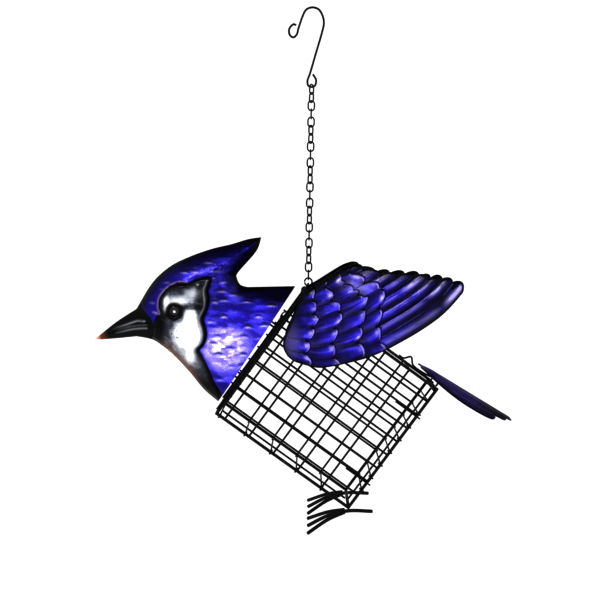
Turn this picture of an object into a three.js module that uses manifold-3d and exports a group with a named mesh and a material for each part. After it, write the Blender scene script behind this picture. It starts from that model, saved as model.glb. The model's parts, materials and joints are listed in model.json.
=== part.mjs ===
// Hanging suet feeder: a wire cage for one suet cake, dressed as a crested jay in stamped sheet metal.
// Millimetres, +Z up. The origin is the inside top of the hook's bend, where it bears on a branch.
// The beak points to -X and the left wing is on the -Y side. The bird hangs nose up, from its neck.

import * as THREE from 'three';
import { mergeVertices } from 'three/addons/utils/BufferGeometryUtils.js';
import Module from 'manifold-3d';

const wasm = await Module();
wasm.setup();

// Clearance between neighbouring pieces
const GAP = 0.3;

// Wire gauges
const HOOK_WIRE = 1.8;
const LINK_WIRE = 1.1;
const RING_WIRE = 1.2;
const EYE_WIRE = 1.6;
const FRAME_WIRE = 2.4;
const MESH_WIRE = 1.5;
const RUNG_WIRE = 1.1;
const LIFT_WIRE = 1.4;
const TOE_WIRE = 3;

// Hook, chain and ring
const HOOK_DROP = 65.4;
const HOOK_EYE_PLAY = 0.7;
const LINK_COUNT = 24;
const LINK_LENGTH = 9.4;
const LINK_WIDTH = 6.7;
const LINK_TURN = THREE.MathUtils.degToRad(72);
const RING_DIAMETER = 8;
const EYE_WIDTH = 8.8;

// Cage, measured between the centres of its frame wires
const BODY_TILT = THREE.MathUtils.degToRad(35);
const CAGE_LENGTH = 139;
const CAGE_HEIGHT = 127;
const CAGE_DEPTH = 50;
const CAGE_BELOW_RING = 5.8;
const ROWS = 8;
const COLUMNS = 5;
const LEFT_ROWS_BELOW_TOP = 13.2;
const LEFT_ROWS_ABOVE_FLOOR = 13.7;
const LEFT_COLUMNS_FROM_NECK = 8.4;
const LEFT_COLUMNS_FROM_TAIL = 29;
const RIGHT_ROWS_BELOW_TOP = 12.6;
const RIGHT_ROWS_ABOVE_FLOOR = 19.2;
const RIGHT_COLUMNS_FROM_NECK = 3.3;
const RIGHT_COLUMNS_FROM_TAIL = 28.5;
const NECK_LOOP_DROP = 25.4;
const NECK_LOOP_LENGTH = 8.4;
const NECK_LOOP_REACH = 4.2;

// Lid over the back, with the tail as its handle
const LID_FIRST_RUNG = 26;
const LID_RUNGS = 5;
const LID_CLEARANCE = 1.3;
const KNUCKLE_OFFSET = 18;
const LIFT_WIRE_START = 100;
const LIFT_WIRE_PEAK = 109.5;
const LIFT_WIRE_FOOT = 115;
const LIFT_WIRE_HEIGHT = 5;
const LIFT_WIRE_END = 158;
const TAIL_POST_OFFSET = 15;

// Head, in two stamped shells
const HEAD_SHEET = 0.7;
const HEAD_LENGTH = 119.2;
const HEAD_HEIGHT = 156.8;
const HEAD_AHEAD_OF_RING = 4.3;
const BEAK_BELOW_RING = 146.6;
const HEAD_RISE = 13;
const HEAD_ROUNDING = 23;
const HEAD_GRID = 8.5;
const STAPLE_REACH = 20;
const STAPLE_CLEARANCE = 0.5;

// Wings, stamped in one piece each
const WING_SHEET = 0.8;
const WING_LENGTH = 108.4;
const WING_HEIGHT = 136.7;
const WING_AHEAD_OF_RING = 1.3;
const WING_BELOW_RING = 57.2;
const WING_RISE = 5;
const WING_ROUNDING = 15;
const LONG_FEATHER_CROWN = 1.7;
const FEATHER_ROWS_SPAN = 100;
const FEATHER_ROW_STEP = 2;
const FEATHER_ROW_LOW = 0.5;
const FEATHER_ROW_HIGH = 2;
const SHORT_FEATHER_CROWN = 1;

// Tail, arched across and climbing towards its tip
const TAIL_SHEET = 0.85;
const TAIL_START = 120;
const TAIL_LENGTH = 94;
const TAIL_WIDTH = 52;
const TAIL_ARCH = 7;
const TAIL_ABOVE_LID = 7;
const TAIL_CLIMB = 7.6;
const TAIL_GRID = 7;

// Feet
const TOE_LENGTH = 35;
const TOE_DROP = 14;
const TOE_SPLAY = 18.6;
const HIND_TOE_LENGTH = 21;

const WIRE_SIDES = 6;
const ROUND_SIDES = 8;
const WELD_SHARE = 0.4;
const OCTAGON_SHARE = 1 - Math.SQRT1_2;

const black = () => new THREE.MeshStandardMaterial({ color: 0x17171a, roughness: 0.45, metalness: 0.6 });
const blue = () => new THREE.MeshStandardMaterial({ color: 0x2a2296, roughness: 0.35, metalness: 0.7 });
const indigo = () => new THREE.MeshStandardMaterial({ color: 0x1c1850, roughness: 0.35, metalness: 0.7 });

const at = (x, y, z) => new THREE.Vector3(x, y, z);
const steps = (count) => Array.from({ length: count }, (_, i) => i);
const sideName = (side) => (side < 0 ? 'left' : 'right');

// A closed three.js geometry as a solid that can be joined or cut
function solidOf(geometry) {
  const plain = geometry.clone();
  plain.deleteAttribute('normal');
  plain.deleteAttribute('uv');
  const merged = mergeVertices(plain);
  const triVerts = Uint32Array.from(merged.index.array);
  const vertProperties = Float32Array.from(merged.attributes.position.array);
  return new wasm.Manifold(new wasm.Mesh({ numProp: 3, vertProperties, triVerts }));
}

function geometryOf(solid) {
  const surface = solid.getMesh();
  const geometry = new THREE.BufferGeometry();
  geometry.setAttribute('position', new THREE.BufferAttribute(surface.vertProperties, 3));
  geometry.setIndex(new THREE.BufferAttribute(surface.triVerts, 1));
  geometry.computeVertexNormals();
  return geometry;
}

// Crossing wires welded into one body
function welded(wires) {
  let whole = solidOf(wires[0]);
  for (const wire of wires.slice(1)) {
    whole = whole.add(solidOf(wire));
  }
  return geometryOf(whole);
}

// A straight wire between two points
function rod(from, to, diameter) {
  const along = to.clone().sub(from);
  const wire = new THREE.CylinderGeometry(diameter / 2, diameter / 2, along.length(), WIRE_SIDES);
  wire.applyQuaternion(new THREE.Quaternion().setFromUnitVectors(at(0, 1, 0), along.normalize()));
  const middle = from.clone().lerp(to, 0.5);
  return wire.translate(middle.x, middle.y, middle.z);
}

// A wire bent along a smooth curve through a few points
function bentWire(points, diameter, stepCount, sides = WIRE_SIDES) {
  const section = new THREE.Shape();
  section.absarc(0, 0, diameter / 2, 0, 2 * Math.PI);
  const extrudePath = new THREE.CatmullRomCurve3(points);
  return new THREE.ExtrudeGeometry(section, { extrudePath, steps: stepCount, curveSegments: sides / 2 });
}

function place(name, geometry, material, parent) {
  const piece = new THREE.Mesh(geometry, material);
  piece.name = name;
  parent.add(piece);
  return piece;
}

const feeder = new THREE.Group();

// Hook: a curl on the short end, the bend, a slanted shank and a drop-shaped eye, as shares of its drop
const hookShares = [
  [-0.214, 0.215], [-0.25, 0.203], [-0.303, 0.262], [-0.298, 0.335], [-0.252, 0.37], [-0.207, 0.335],
  [-0.183, 0.249], [-0.106, 0.04], [-0.07, 0.003], [0, -0.014], [0.075, 0.012], [0.13, 0.1],
  [0.144, 0.192], [0.124, 0.295], [0.05, 0.56], [-0.024, 0.826], [-0.057, 0.93], [-0.042, 0.985],
  [0, 1], [0.042, 0.982], [0.056, 0.91], [0.014, 0.837],
];
const hookPoints = hookShares.map(([x, down]) => at(x * HOOK_DROP, 0, -down * HOOK_DROP));
place('hanging_hook', bentWire(hookPoints, HOOK_WIRE, 60, ROUND_SIDES), black(), feeder);

// An outline with straight sides and round ends
function stadium(length, width, outline) {
  const straight = (length - width) / 2;
  outline.absarc(0, straight, width / 2, 0, Math.PI);
  outline.absarc(0, -straight, width / 2, Math.PI, 2 * Math.PI);
  return outline;
}

// An upright oval link in the XZ plane, of wire with an eight-sided section
function chainLink() {
  const chamfer = LINK_WIRE * OCTAGON_SHARE;
  const inset = 2 * (LINK_WIRE - chamfer);
  const outline = stadium(LINK_LENGTH - 2 * chamfer, LINK_WIDTH - 2 * chamfer, new THREE.Shape());
  outline.holes.push(stadium(LINK_LENGTH - inset, LINK_WIDTH - inset, new THREE.Path()));
  const depth = LINK_WIRE - 2 * chamfer;
  const bevel = { bevelThickness: chamfer, bevelSize: chamfer, bevelSegments: 1, curveSegments: 2 };
  const link = new THREE.ExtrudeGeometry(outline, { depth, ...bevel });
  return link.translate(0, 0, -depth / 2).rotateX(Math.PI / 2);
}

// How far the upper wire of a link lies above the wire that it hangs on
const linkSeat = (supportWire, wire, play = GAP) => (supportWire + wire) / 2 + play;

// Chain: each link is turned on from the last, so that the chain twists slowly
let seat = linkSeat(HOOK_WIRE, LINK_WIRE, HOOK_EYE_PLAY);
let supportHeight = -HOOK_DROP;
let turn = Math.PI / 2 - (LINK_COUNT - 1) * LINK_TURN;
for (const i of steps(LINK_COUNT)) {
  const name = `chain_link_${String(i + 1).padStart(2, '0')}`;
  const link = place(name, chainLink(), black(), feeder);
  const top = supportHeight + seat;
  const bottom = top - (LINK_LENGTH - LINK_WIRE);
  link.position.z = (top + bottom) / 2;
  link.rotation.z = turn;
  seat = linkSeat(LINK_WIRE, LINK_WIRE);
  supportHeight = bottom;
  turn += LINK_TURN;
}

const ringRadius = (RING_DIAMETER - RING_WIRE) / 2;
const ringShape = new THREE.TorusGeometry(ringRadius, RING_WIRE / 2, WIRE_SIDES, 16);
const ring = place('chain_ring', ringShape.rotateX(Math.PI / 2), black(), feeder);
const ringTop = supportHeight + linkSeat(LINK_WIRE, RING_WIRE);
ring.position.z = ringTop - ringRadius;
ring.rotation.z = turn;

// The bird hangs from the ring's lowest point, and its body is turned nose up about that point
const bird = new THREE.Group();
bird.position.z = ringTop - 2 * ringRadius;
feeder.add(bird);
const body = new THREE.Group();
body.rotation.y = BODY_TILT;
bird.add(body);

// Hanging eye: an upside-down U that stands on the neck's top wire and rides on the ring
const eyeApex = at(0, 0, linkSeat(RING_WIRE, EYE_WIRE)).applyAxisAngle(at(0, 1, 0), -BODY_TILT);
const neckTop = at(0, 0, -CAGE_BELOW_RING);
const eyePost = eyeApex.clone().sub(neckTop);
const eyeRadius = (EYE_WIDTH - EYE_WIRE) / 2;
const eyeFoot = FRAME_WIRE / 2 + GAP;
const eyePoints = [at(0, -eyeRadius, eyeFoot)];
for (const share of [1, 0.75, 0.5, 0.25, 0]) {
  const angle = share * Math.PI;
  const height = eyePost.length() - eyeRadius + eyeRadius * Math.sin(angle);
  eyePoints.push(at(0, eyeRadius * Math.cos(angle), height));
}
eyePoints.push(at(0, eyeRadius, eyeFoot));
const eye = place('hanging_eye', bentWire(eyePoints, EYE_WIRE, 16), black(), body);
eye.position.copy(neckTop);
eye.rotation.y = Math.atan2(eyePost.x, eyePost.z);

// Cage: X runs from the neck side to the tail side, and Z down from the top wires
const cage = new THREE.Group();
cage.position.copy(neckTop);
body.add(cage);
const crossing = 2 * WELD_SHARE * MESH_WIRE;
const rungCrossing = WELD_SHARE * (RUNG_WIRE + MESH_WIRE);
const halfSpan = CAGE_DEPTH / 2 - FRAME_WIRE / 2 - 2 * GAP;

// Evenly spaced places over a length, from one margin to the other
const spread = (length, margin, count, lastMargin) =>
  steps(count).map((i) => margin + (i * (length - margin - lastMargin)) / (count - 1));

const leftRows = spread(CAGE_HEIGHT, LEFT_ROWS_BELOW_TOP, ROWS, LEFT_ROWS_ABOVE_FLOOR);
const leftColumns = spread(CAGE_LENGTH, LEFT_COLUMNS_FROM_NECK, COLUMNS, LEFT_COLUMNS_FROM_TAIL);
const rightRows = spread(CAGE_HEIGHT, RIGHT_ROWS_BELOW_TOP, ROWS, RIGHT_ROWS_ABOVE_FLOOR);
const rightColumns = spread(CAGE_LENGTH, RIGHT_COLUMNS_FROM_NECK, COLUMNS, RIGHT_COLUMNS_FROM_TAIL);

// A flat side grid: four frame wires, lengthwise rows inside them and columns outside them
function sideGrid(side, rows, columns) {
  const y = side * (CAGE_DEPTH / 2);
  const inner = y - (side * crossing) / 2;
  const outer = y + (side * crossing) / 2;
  const overrun = FRAME_WIRE / 2;
  const wires = [];
  for (const z of [0, -CAGE_HEIGHT]) {
    wires.push(rod(at(-overrun, y, z), at(CAGE_LENGTH + overrun, y, z), FRAME_WIRE));
  }
  for (const x of [0, CAGE_LENGTH]) {
    wires.push(rod(at(x, y, 0), at(x, y, -CAGE_HEIGHT), FRAME_WIRE));
  }
  for (const row of rows) {
    wires.push(rod(at(0, inner, -row), at(CAGE_LENGTH, inner, -row), MESH_WIRE));
  }
  for (const column of columns) {
    wires.push(rod(at(column, outer, 0), at(column, outer, -CAGE_HEIGHT), MESH_WIRE));
  }
  return welded(wires);
}

place('side_grid_left', sideGrid(-1, leftRows, leftColumns), black(), cage);
place('side_grid_right', sideGrid(1, rightRows, rightColumns), black(), cage);

// A wire that spans the cage's depth
const rung = (x, z, diameter) => rod(at(x, -halfSpan, z), at(x, halfSpan, z), diameter);

// An upright grid of rungs between two heavy wires, held by one rail on its outer side
function endGrid(x, outward, topWireHeight) {
  const railX = x + outward * rungCrossing;
  const wires = [rung(x, topWireHeight, FRAME_WIRE), rung(x, -CAGE_HEIGHT, FRAME_WIRE)];
  wires.push(rod(at(railX, 0, topWireHeight), at(railX, 0, -CAGE_HEIGHT), MESH_WIRE));
  for (const row of rightRows) {
    wires.push(rung(x, -row, RUNG_WIRE));
  }
  return welded(wires);
}

const lidLedge = -(MESH_WIRE / 2 + GAP + FRAME_WIRE / 2);
place('neck_grid', endGrid(0, -1, 0), black(), cage);
place('tail_side_grid', endGrid(CAGE_LENGTH, 1, lidLedge), black(), cage);

function floorGrid() {
  const railZ = -CAGE_HEIGHT - rungCrossing;
  const railEnd = CAGE_LENGTH - FRAME_WIRE / 2 - GAP;
  const wires = [rod(at(rightColumns[0], 0, railZ), at(railEnd, 0, railZ), MESH_WIRE)];
  for (const column of rightColumns) {
    wires.push(rung(column, -CAGE_HEIGHT, RUNG_WIRE));
  }
  return welded(wires);
}

place('floor_grid', floorGrid(), black(), cage);

// A small wire loop on the left side's neck wire
const loopFoot = -(FRAME_WIRE / 2 + GAP);
const loopPoints = [
  at(loopFoot, 0, NECK_LOOP_LENGTH / 2), at(-NECK_LOOP_REACH, 0, NECK_LOOP_LENGTH / 3),
  at(-NECK_LOOP_REACH, 0, -NECK_LOOP_LENGTH / 3), at(loopFoot, 0, -NECK_LOOP_LENGTH / 2),
];
const neckLoop = place('neck_loop', bentWire(loopPoints, LINK_WIRE, 10), black(), cage);
neckLoop.position.set(0, -CAGE_DEPTH / 2, -NECK_LOOP_DROP);

// Lid: turns about the neck grid's top wire on two knuckles, and rests on the tail side's top wire
const lid = new THREE.Group();
cage.add(lid);

function lidGrid() {
  const reach = CAGE_DEPTH / 2 - FRAME_WIRE / 2 - LID_CLEARANCE;
  const knuckleRadius = FRAME_WIRE / 2 + GAP + MESH_WIRE / 2;
  const wires = [rod(at(LID_FIRST_RUNG, 0, crossing), at(CAGE_LENGTH, 0, crossing), MESH_WIRE)];
  for (const y of [-KNUCKLE_OFFSET, KNUCKLE_OFFSET]) {
    const knuckle = new THREE.TorusGeometry(knuckleRadius, MESH_WIRE / 2, WIRE_SIDES, 12);
    wires.push(rod(at(knuckleRadius, y, 0), at(CAGE_LENGTH, y, 0), MESH_WIRE));
    wires.push(knuckle.rotateX(Math.PI / 2).translate(0, y, 0));
  }
  for (const i of steps(LID_RUNGS)) {
    const x = LID_FIRST_RUNG + (i * (CAGE_LENGTH - LID_FIRST_RUNG)) / (LID_RUNGS - 1);
    wires.push(rod(at(x, -reach, 0), at(x, reach, 0), MESH_WIRE));
  }
  return welded(wires);
}

place('lid_grid', lidGrid(), black(), lid);

// A closed sheet of small four-sided patches: place(i, j) gives a point of its lower face
function patchSheet(columns, rows, thickness, place) {
  const points = [];
  for (const face of [0, 1]) {
    for (const j of steps(rows + 1)) {
      for (const i of steps(columns + 1)) {
        const { x, y, z } = place(i, j);
        points.push(x, y, z + face * thickness);
      }
    }
  }
  const id = (face, i, j) => (face * (rows + 1) + j) * (columns + 1) + i;
  const triangles = [];
  const square = (a, b, c, d) => triangles.push(a, b, c, a, c, d);
  for (const j of steps(rows)) {
    for (const i of steps(columns)) {
      square(id(1, i, j), id(1, i + 1, j), id(1, i + 1, j + 1), id(1, i, j + 1));
      triangles.push(id(0, i, j), id(0, i + 1, j + 1), id(0, i + 1, j));
      triangles.push(id(0, i, j), id(0, i, j + 1), id(0, i + 1, j + 1));
    }
    square(id(0, 0, j), id(1, 0, j), id(1, 0, j + 1), id(0, 0, j + 1));
    square(id(0, columns, j), id(0, columns, j + 1), id(1, columns, j + 1), id(1, columns, j));
  }
  for (const i of steps(columns)) {
    square(id(0, i, 0), id(0, i + 1, 0), id(1, i + 1, 0), id(1, i, 0));
    square(id(0, i, rows), id(1, i, rows), id(1, i + 1, rows), id(0, i + 1, rows));
  }
  const sheet = new THREE.BufferGeometry();
  sheet.setAttribute('position', new THREE.Float32BufferAttribute(points, 3));
  return sheet.setIndex(triangles);
}

// A rectangular sheet with its lower face at height(x, y)
function gridSheet(low, high, grid, thickness, height) {
  const columns = Math.round((high.x - low.x) / grid);
  const rows = Math.round((high.y - low.y) / grid);
  return patchSheet(columns, rows, thickness, (i, j) => {
    const x = low.x + ((high.x - low.x) * i) / columns;
    const y = low.y + ((high.y - low.y) * j) / rows;
    return at(x, y, height(x, y));
  });
}

// Sheet metal cut to an outline: flat where the rise is 0, and lifted towards one side elsewhere
function stampedSheet(outline, thickness, grid, side, rise) {
  const box = new THREE.Box2().setFromPoints(outline.getPoints()).expandByScalar(grid / 2);
  const height = (x, y) => (side > 0 ? rise(x, y) : -rise(x, y) - thickness);
  const sheet = gridSheet(box.min, box.max, grid, thickness, height);
  const reach = box.getSize(new THREE.Vector2()).x;
  const cut = { depth: 2 * reach, bevelEnabled: false, curveSegments: 3 };
  const cutter = new THREE.ExtrudeGeometry(outline, cut).translate(0, 0, -reach);
  return geometryOf(solidOf(sheet).intersect(solidOf(cutter)));
}

function isInside(x, y, loop) {
  let inside = false;
  loop.forEach((a, i) => {
    const b = loop[(i + 1) % loop.length];
    const crosses = a.y > y !== b.y > y && x < a.x + ((y - a.y) * (b.x - a.x)) / (b.y - a.y);
    inside = crosses ? !inside : inside;
  });
  return inside;
}

// A pillow-like rise over a room: 0 on the edge, and full height further in than the rounding
function pillow(edge, room, height, rounding) {
  const nearest = new THREE.Vector3();
  return (x, y) => {
    if (!isInside(x, y, room)) {
      return 0;
    }
    const here = at(x, y, 0);
    let distance = rounding;
    for (const i of steps(edge.length - 1)) {
      const side = new THREE.Line3(at(edge[i].x, edge[i].y, 0), at(edge[i + 1].x, edge[i + 1].y, 0));
      side.closestPointToPoint(here, true, nearest);
      distance = Math.min(distance, nearest.distanceTo(here));
    }
    return height * Math.sin((Math.PI / 2) * (distance / rounding));
  };
}

const scaled = (shares, width, height) => shares.map(([x, y]) => new THREE.Vector2(x * width, y * height));

// Head outline, as shares of its length from the beak's tip and of its height from there to the crest
const neckBottomShare = [1, 0.112];
const throatShares = [
  [0.864, 0.121], [0.707, 0.153], [0.538, 0.179],
  [0.424, 0.185], [0.338, 0.18], [0.233, 0.143],
];
const underBeakShares = [[0.119, 0.066], [0.028, 0.008], [0, 0]];
const overBeakShares = [[0.051, 0.14], [0.117, 0.269]];
const crownShares = [
  [0.101, 0.437], [0.134, 0.565], [0.205, 0.672], [0.304, 0.782],
  [0.404, 0.871], [0.483, 0.949], [0.551, 1],
];
const crestShares = [[0.581, 0.921], [0.564, 0.768], [0.579, 0.738], [0.629, 0.718], [0.681, 0.73]];
const neckTopShare = [0.961, 0.891];

function headOutline() {
  const points = (shares) => scaled(shares, HEAD_LENGTH, HEAD_HEIGHT);
  const outline = new THREE.Shape();
  outline.moveTo(...points([neckBottomShare])[0]);
  outline.splineThru(points(throatShares));
  outline.splineThru(points(underBeakShares));
  outline.splineThru(points(overBeakShares));
  outline.splineThru(points(crownShares));
  outline.splineThru(points(crestShares));
  outline.lineTo(...points([neckTopShare])[0]);
  return outline;
}

// The neck is open towards the cage, so the rise runs on past its rear edge
const headEdge = headOutline().getPoints(2);
const pastNeck = new THREE.Vector2(2 * HEAD_GRID, 0);
const headRoom = [headEdge[0].clone().add(pastNeck), ...headEdge, headEdge.at(-1).clone().add(pastNeck)];
for (const side of [-1, 1]) {
  const rise = pillow(headEdge, headRoom, HEAD_RISE, HEAD_ROUNDING);
  const shell = stampedSheet(headOutline(), HEAD_SHEET, HEAD_GRID, -side, rise);
  const half = place(`head_shell_${sideName(side)}`, shell, blue(), body);
  half.position.set(-HEAD_AHEAD_OF_RING - HEAD_LENGTH, (side * GAP) / 2, -BEAK_BELOW_RING);
  half.rotation.x = Math.PI / 2;
}

// Staples that carry the head: each stands on a rung of the neck grid and reaches into the open neck
const stapleHalf = HEAD_RISE + GAP / 2 - STAPLE_CLEARANCE - EYE_WIRE / 2;
const stapleFoot = -(RUNG_WIRE / 2 + GAP);
for (const [name, row] of [['head_staple_upper', 2], ['head_staple_lower', 6]]) {
  const points = [
    at(stapleFoot, -stapleHalf, 0), at(-STAPLE_REACH / 2, -stapleHalf, 0),
    at(-STAPLE_REACH, -stapleHalf / 2, 0), at(-STAPLE_REACH, stapleHalf / 2, 0),
    at(-STAPLE_REACH / 2, stapleHalf, 0), at(stapleFoot, stapleHalf, 0),
  ];
  const staple = place(name, bentWire(points, EYE_WIRE, 14), black(), cage);
  staple.position.z = -rightRows[row];
}

// Wing edges, as shares of its length and height from the lower front corner of its box
const rootShares = [
  [0.196, 0.001], [0.127, 0.031], [0.086, 0.088], [0.063, 0.177], [0.026, 0.287], [0, 0.38],
];
const undersideShares = [
  [0.196, 0.001], [0.261, 0], [0.339, 0.019], [0.435, 0.051], [0.512, 0.103], [0.613, 0.192], [0.708, 0.286],
  [0.782, 0.383], [0.839, 0.476], [0.907, 0.599], [0.965, 0.732], [0.99, 0.837], [1, 0.949],
];
const frontShares = [
  [0, 0.38], [0.051, 0.47], [0.095, 0.557], [0.14, 0.642], [0.17, 0.682], [0.196, 0.707], [0.221, 0.719],
];

// Tips of the long feathers, from the wing's underside to its front, and the valleys beside them
const tipShares = [
  [0.951, 1], [0.838, 0.969], [0.762, 0.933], [0.664, 0.899],
  [0.56, 0.846], [0.457, 0.794], [0.354, 0.751], [0.246, 0.722],
];
const valleyShares = [
  [1, 0.949], [0.887, 0.967], [0.802, 0.925], [0.719, 0.892], [0.61, 0.845],
  [0.506, 0.792], [0.402, 0.74], [0.268, 0.709], [0.221, 0.719],
];
const rowSwell = 1.5;

// The relief is whole where the wing's pillow has this share of its rise
const reliefShare = 0.5;

// Where the rows of short feathers end, and places between rows and tips, along a feather's run
const rowEndShares = [0.22, 0.43, 0.65, 0.81];
const rootEaseShares = [0, 0.05, 0.11];
const longFeatherShares = [0.25, 0.5, 0.75, 0.9, 1];
const SHORT_FEATHERS = 6;
const LINES_PER_FEATHER = 4;

const wingPoints = (shares) => scaled(shares, WING_LENGTH, WING_HEIGHT);
const wingRoot = new THREE.SplineCurve(wingPoints(rootShares));
const wingUnderside = new THREE.SplineCurve(wingPoints(undersideShares));
const wingFront = new THREE.SplineCurve(wingPoints(frontShares));
const tips = wingPoints(tipShares);
const valleys = wingPoints(valleyShares);

// How far a place lies from the middle of its feather: 0 in the middle, 1 on its edges
const fromMiddle = (place) => Math.abs(2 * (place - Math.floor(place)) - 1);

// The wing's rear edge: one rounded tip for each long feather
function tipEdge(across) {
  const feather = Math.min(Math.floor(across * tips.length), tips.length - 1);
  const phase = across * tips.length - feather;
  const [a, b] = [valleys[feather], valleys[feather + 1]];
  const bulge = tips[feather].clone().sub(a.clone().lerp(b, 0.5));
  return a.clone().lerp(b, phase).addScaledVector(bulge, Math.sin(Math.PI * phase));
}

// A point of the wing: run goes from its root to its tips, and across from its underside to its front
function wingPoint(run, across) {
  const lengthwise = wingUnderside.getPointAt(run).lerp(wingFront.getPointAt(run), across);
  const crosswise = wingRoot.getPointAt(across).lerp(tipEdge(across), run);
  const low = valleys[0].clone().lerp(wingRoot.points[0], 1 - run);
  const high = valleys.at(-1).clone().lerp(wingRoot.points.at(-1), 1 - run);
  return lengthwise.add(crosswise).sub(low.lerp(high, across));
}

// Places along a feather's run, two at each row's end for the step down to the next row
function wingRuns(across) {
  const length = wingRoot.getPointAt(across).distanceTo(tipEdge(across));
  const span = Math.min(length, FEATHER_ROWS_SPAN);
  const runs = rootEaseShares.map((share) => ({ run: share * span, row: 0 }));
  rowEndShares.forEach((share, row) => {
    runs.push({ run: share * span, row });
    runs.push({ run: share * span + FEATHER_ROW_STEP, row: row + 1 });
  });
  const last = runs.at(-1).run;
  for (const share of longFeatherShares) {
    runs.push({ run: last + (length - last) * share, row: rowEndShares.length });
  }
  const rowEnd = (row) => (row < 0 ? 0 : rowEndShares[row] * span);
  return runs.map(({ run, row }) => {
    const filled = row < rowEndShares.length ? (run - rowEnd(row - 1)) / (rowEnd(row) - rowEnd(row - 1)) : 0;
    return { run: run / length, row, filled };
  });
}

// Each short feather rises towards its end and lies over the next row; the long ones are crowned
function featherRelief(row, filled, across) {
  if (row === rowEndShares.length) {
    return LONG_FEATHER_CROWN * (1 - fromMiddle(across * tips.length) ** 2);
  }
  const crown = SHORT_FEATHER_CROWN * (1 - fromMiddle(across * SHORT_FEATHERS + row / 2) ** 2);
  return FEATHER_ROW_LOW + (FEATHER_ROW_HIGH - FEATHER_ROW_LOW) * filled ** rowSwell + crown * filled;
}

const wingLines = steps(tips.length * LINES_PER_FEATHER + 1).map((j) => {
  const across = j / (tips.length * LINES_PER_FEATHER);
  return wingRuns(across).map(({ run, row, filled }) => ({
    point: wingPoint(run, across), relief: featherRelief(row, filled, across),
  }));
});
const lastRun = wingLines[0].length - 1;
const wingEdge = [
  ...wingLines[0], ...wingLines.map((line) => line[lastRun]),
  ...wingLines.at(-1).toReversed(), ...wingLines.map((line) => line[0]).toReversed(),
].map(({ point }) => point);
const wingStandoff = CAGE_DEPTH / 2 + crossing / 2 + MESH_WIRE / 2 + 2 * GAP;
const wingPillow = pillow(wingEdge, wingEdge, WING_RISE, WING_ROUNDING);
for (const side of [-1, 1]) {
  const sheet = patchSheet(lastRun, wingLines.length - 1, WING_SHEET, (i, j) => {
    const { point, relief } = wingLines[j][i];
    const onEdge = i === 0 || i === lastRun || j === 0 || j === wingLines.length - 1;
    const rise = onEdge ? 0 : wingPillow(point.x, point.y);
    const height = rise + relief * Math.min(1, rise / (reliefShare * WING_RISE));
    return at(point.x, point.y, side < 0 ? height : -height - WING_SHEET);
  });
  const wing = place(`wing_${sideName(side)}`, geometryOf(solidOf(sheet)), blue(), body);
  wing.position.set(-WING_AHEAD_OF_RING, side * wingStandoff, -WING_BELOW_RING);
  wing.rotation.x = Math.PI / 2;
}

// Tail: its outline as shares of its length and of its width, from the front, on one side
const tailShares = [
  [0, 0.2], [0.17, 0.38], [0.42, 0.5], [0.7, 0.5], [0.8, 0.46],
  [0.83, 0.36], [0.91, 0.34], [0.94, 0.2], [1, 0.16],
];

function tailOutline() {
  const near = tailShares.map(([x, y]) => new THREE.Vector2(x * TAIL_LENGTH, y * TAIL_WIDTH));
  const far = near.map((point) => new THREE.Vector2(point.x, -point.y)).reverse();
  return new THREE.Shape([...near, ...far].reverse());
}

// Height of the tail's underside above the lid's wires
function tailUnderside(x, y) {
  return TAIL_ABOVE_LID + TAIL_CLIMB * (x / TAIL_LENGTH) - TAIL_ARCH * (y / (TAIL_WIDTH / 2)) ** 2;
}

const tailSheet = stampedSheet(tailOutline(), TAIL_SHEET, TAIL_GRID, 1, tailUnderside);
const tail = place('tail_plate', tailSheet, indigo(), lid);
tail.position.x = TAIL_START;

// Lift wire: a pointed finger loop on the lid that runs back under the tail and carries it
const wireOnLid = crossing + MESH_WIRE / 2 + 2 * GAP + LIFT_WIRE / 2;
const wireUnderTail = (x) => tailUnderside(x - TAIL_START, 0) - GAP - LIFT_WIRE / 2;
const liftPoints = [
  at(LIFT_WIRE_START, 0, wireOnLid),
  at((LIFT_WIRE_START + LIFT_WIRE_PEAK) / 2, 0, wireOnLid + GAP),
  at(LIFT_WIRE_PEAK, 0, wireOnLid + LIFT_WIRE_HEIGHT),
  at(LIFT_WIRE_FOOT, 0, wireOnLid + GAP),
  at((LIFT_WIRE_FOOT + CAGE_LENGTH) / 2, 0, wireOnLid),
  at(CAGE_LENGTH, 0, (wireOnLid + wireUnderTail(CAGE_LENGTH)) / 2),
  at(LIFT_WIRE_END, 0, wireUnderTail(LIFT_WIRE_END)),
];
place('lift_wire', bentWire(liftPoints, LIFT_WIRE, 28), black(), lid);

for (const side of [-1, 1]) {
  const y = side * TAIL_POST_OFFSET;
  const top = tailUnderside(CAGE_LENGTH - TAIL_START, y) - 2 * GAP;
  const post = rod(at(CAGE_LENGTH, y, MESH_WIRE / 2 + GAP), at(CAGE_LENGTH, y, top), LIFT_WIRE);
  place(`tail_post_${sideName(side)}`, post, black(), lid);
}

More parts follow.
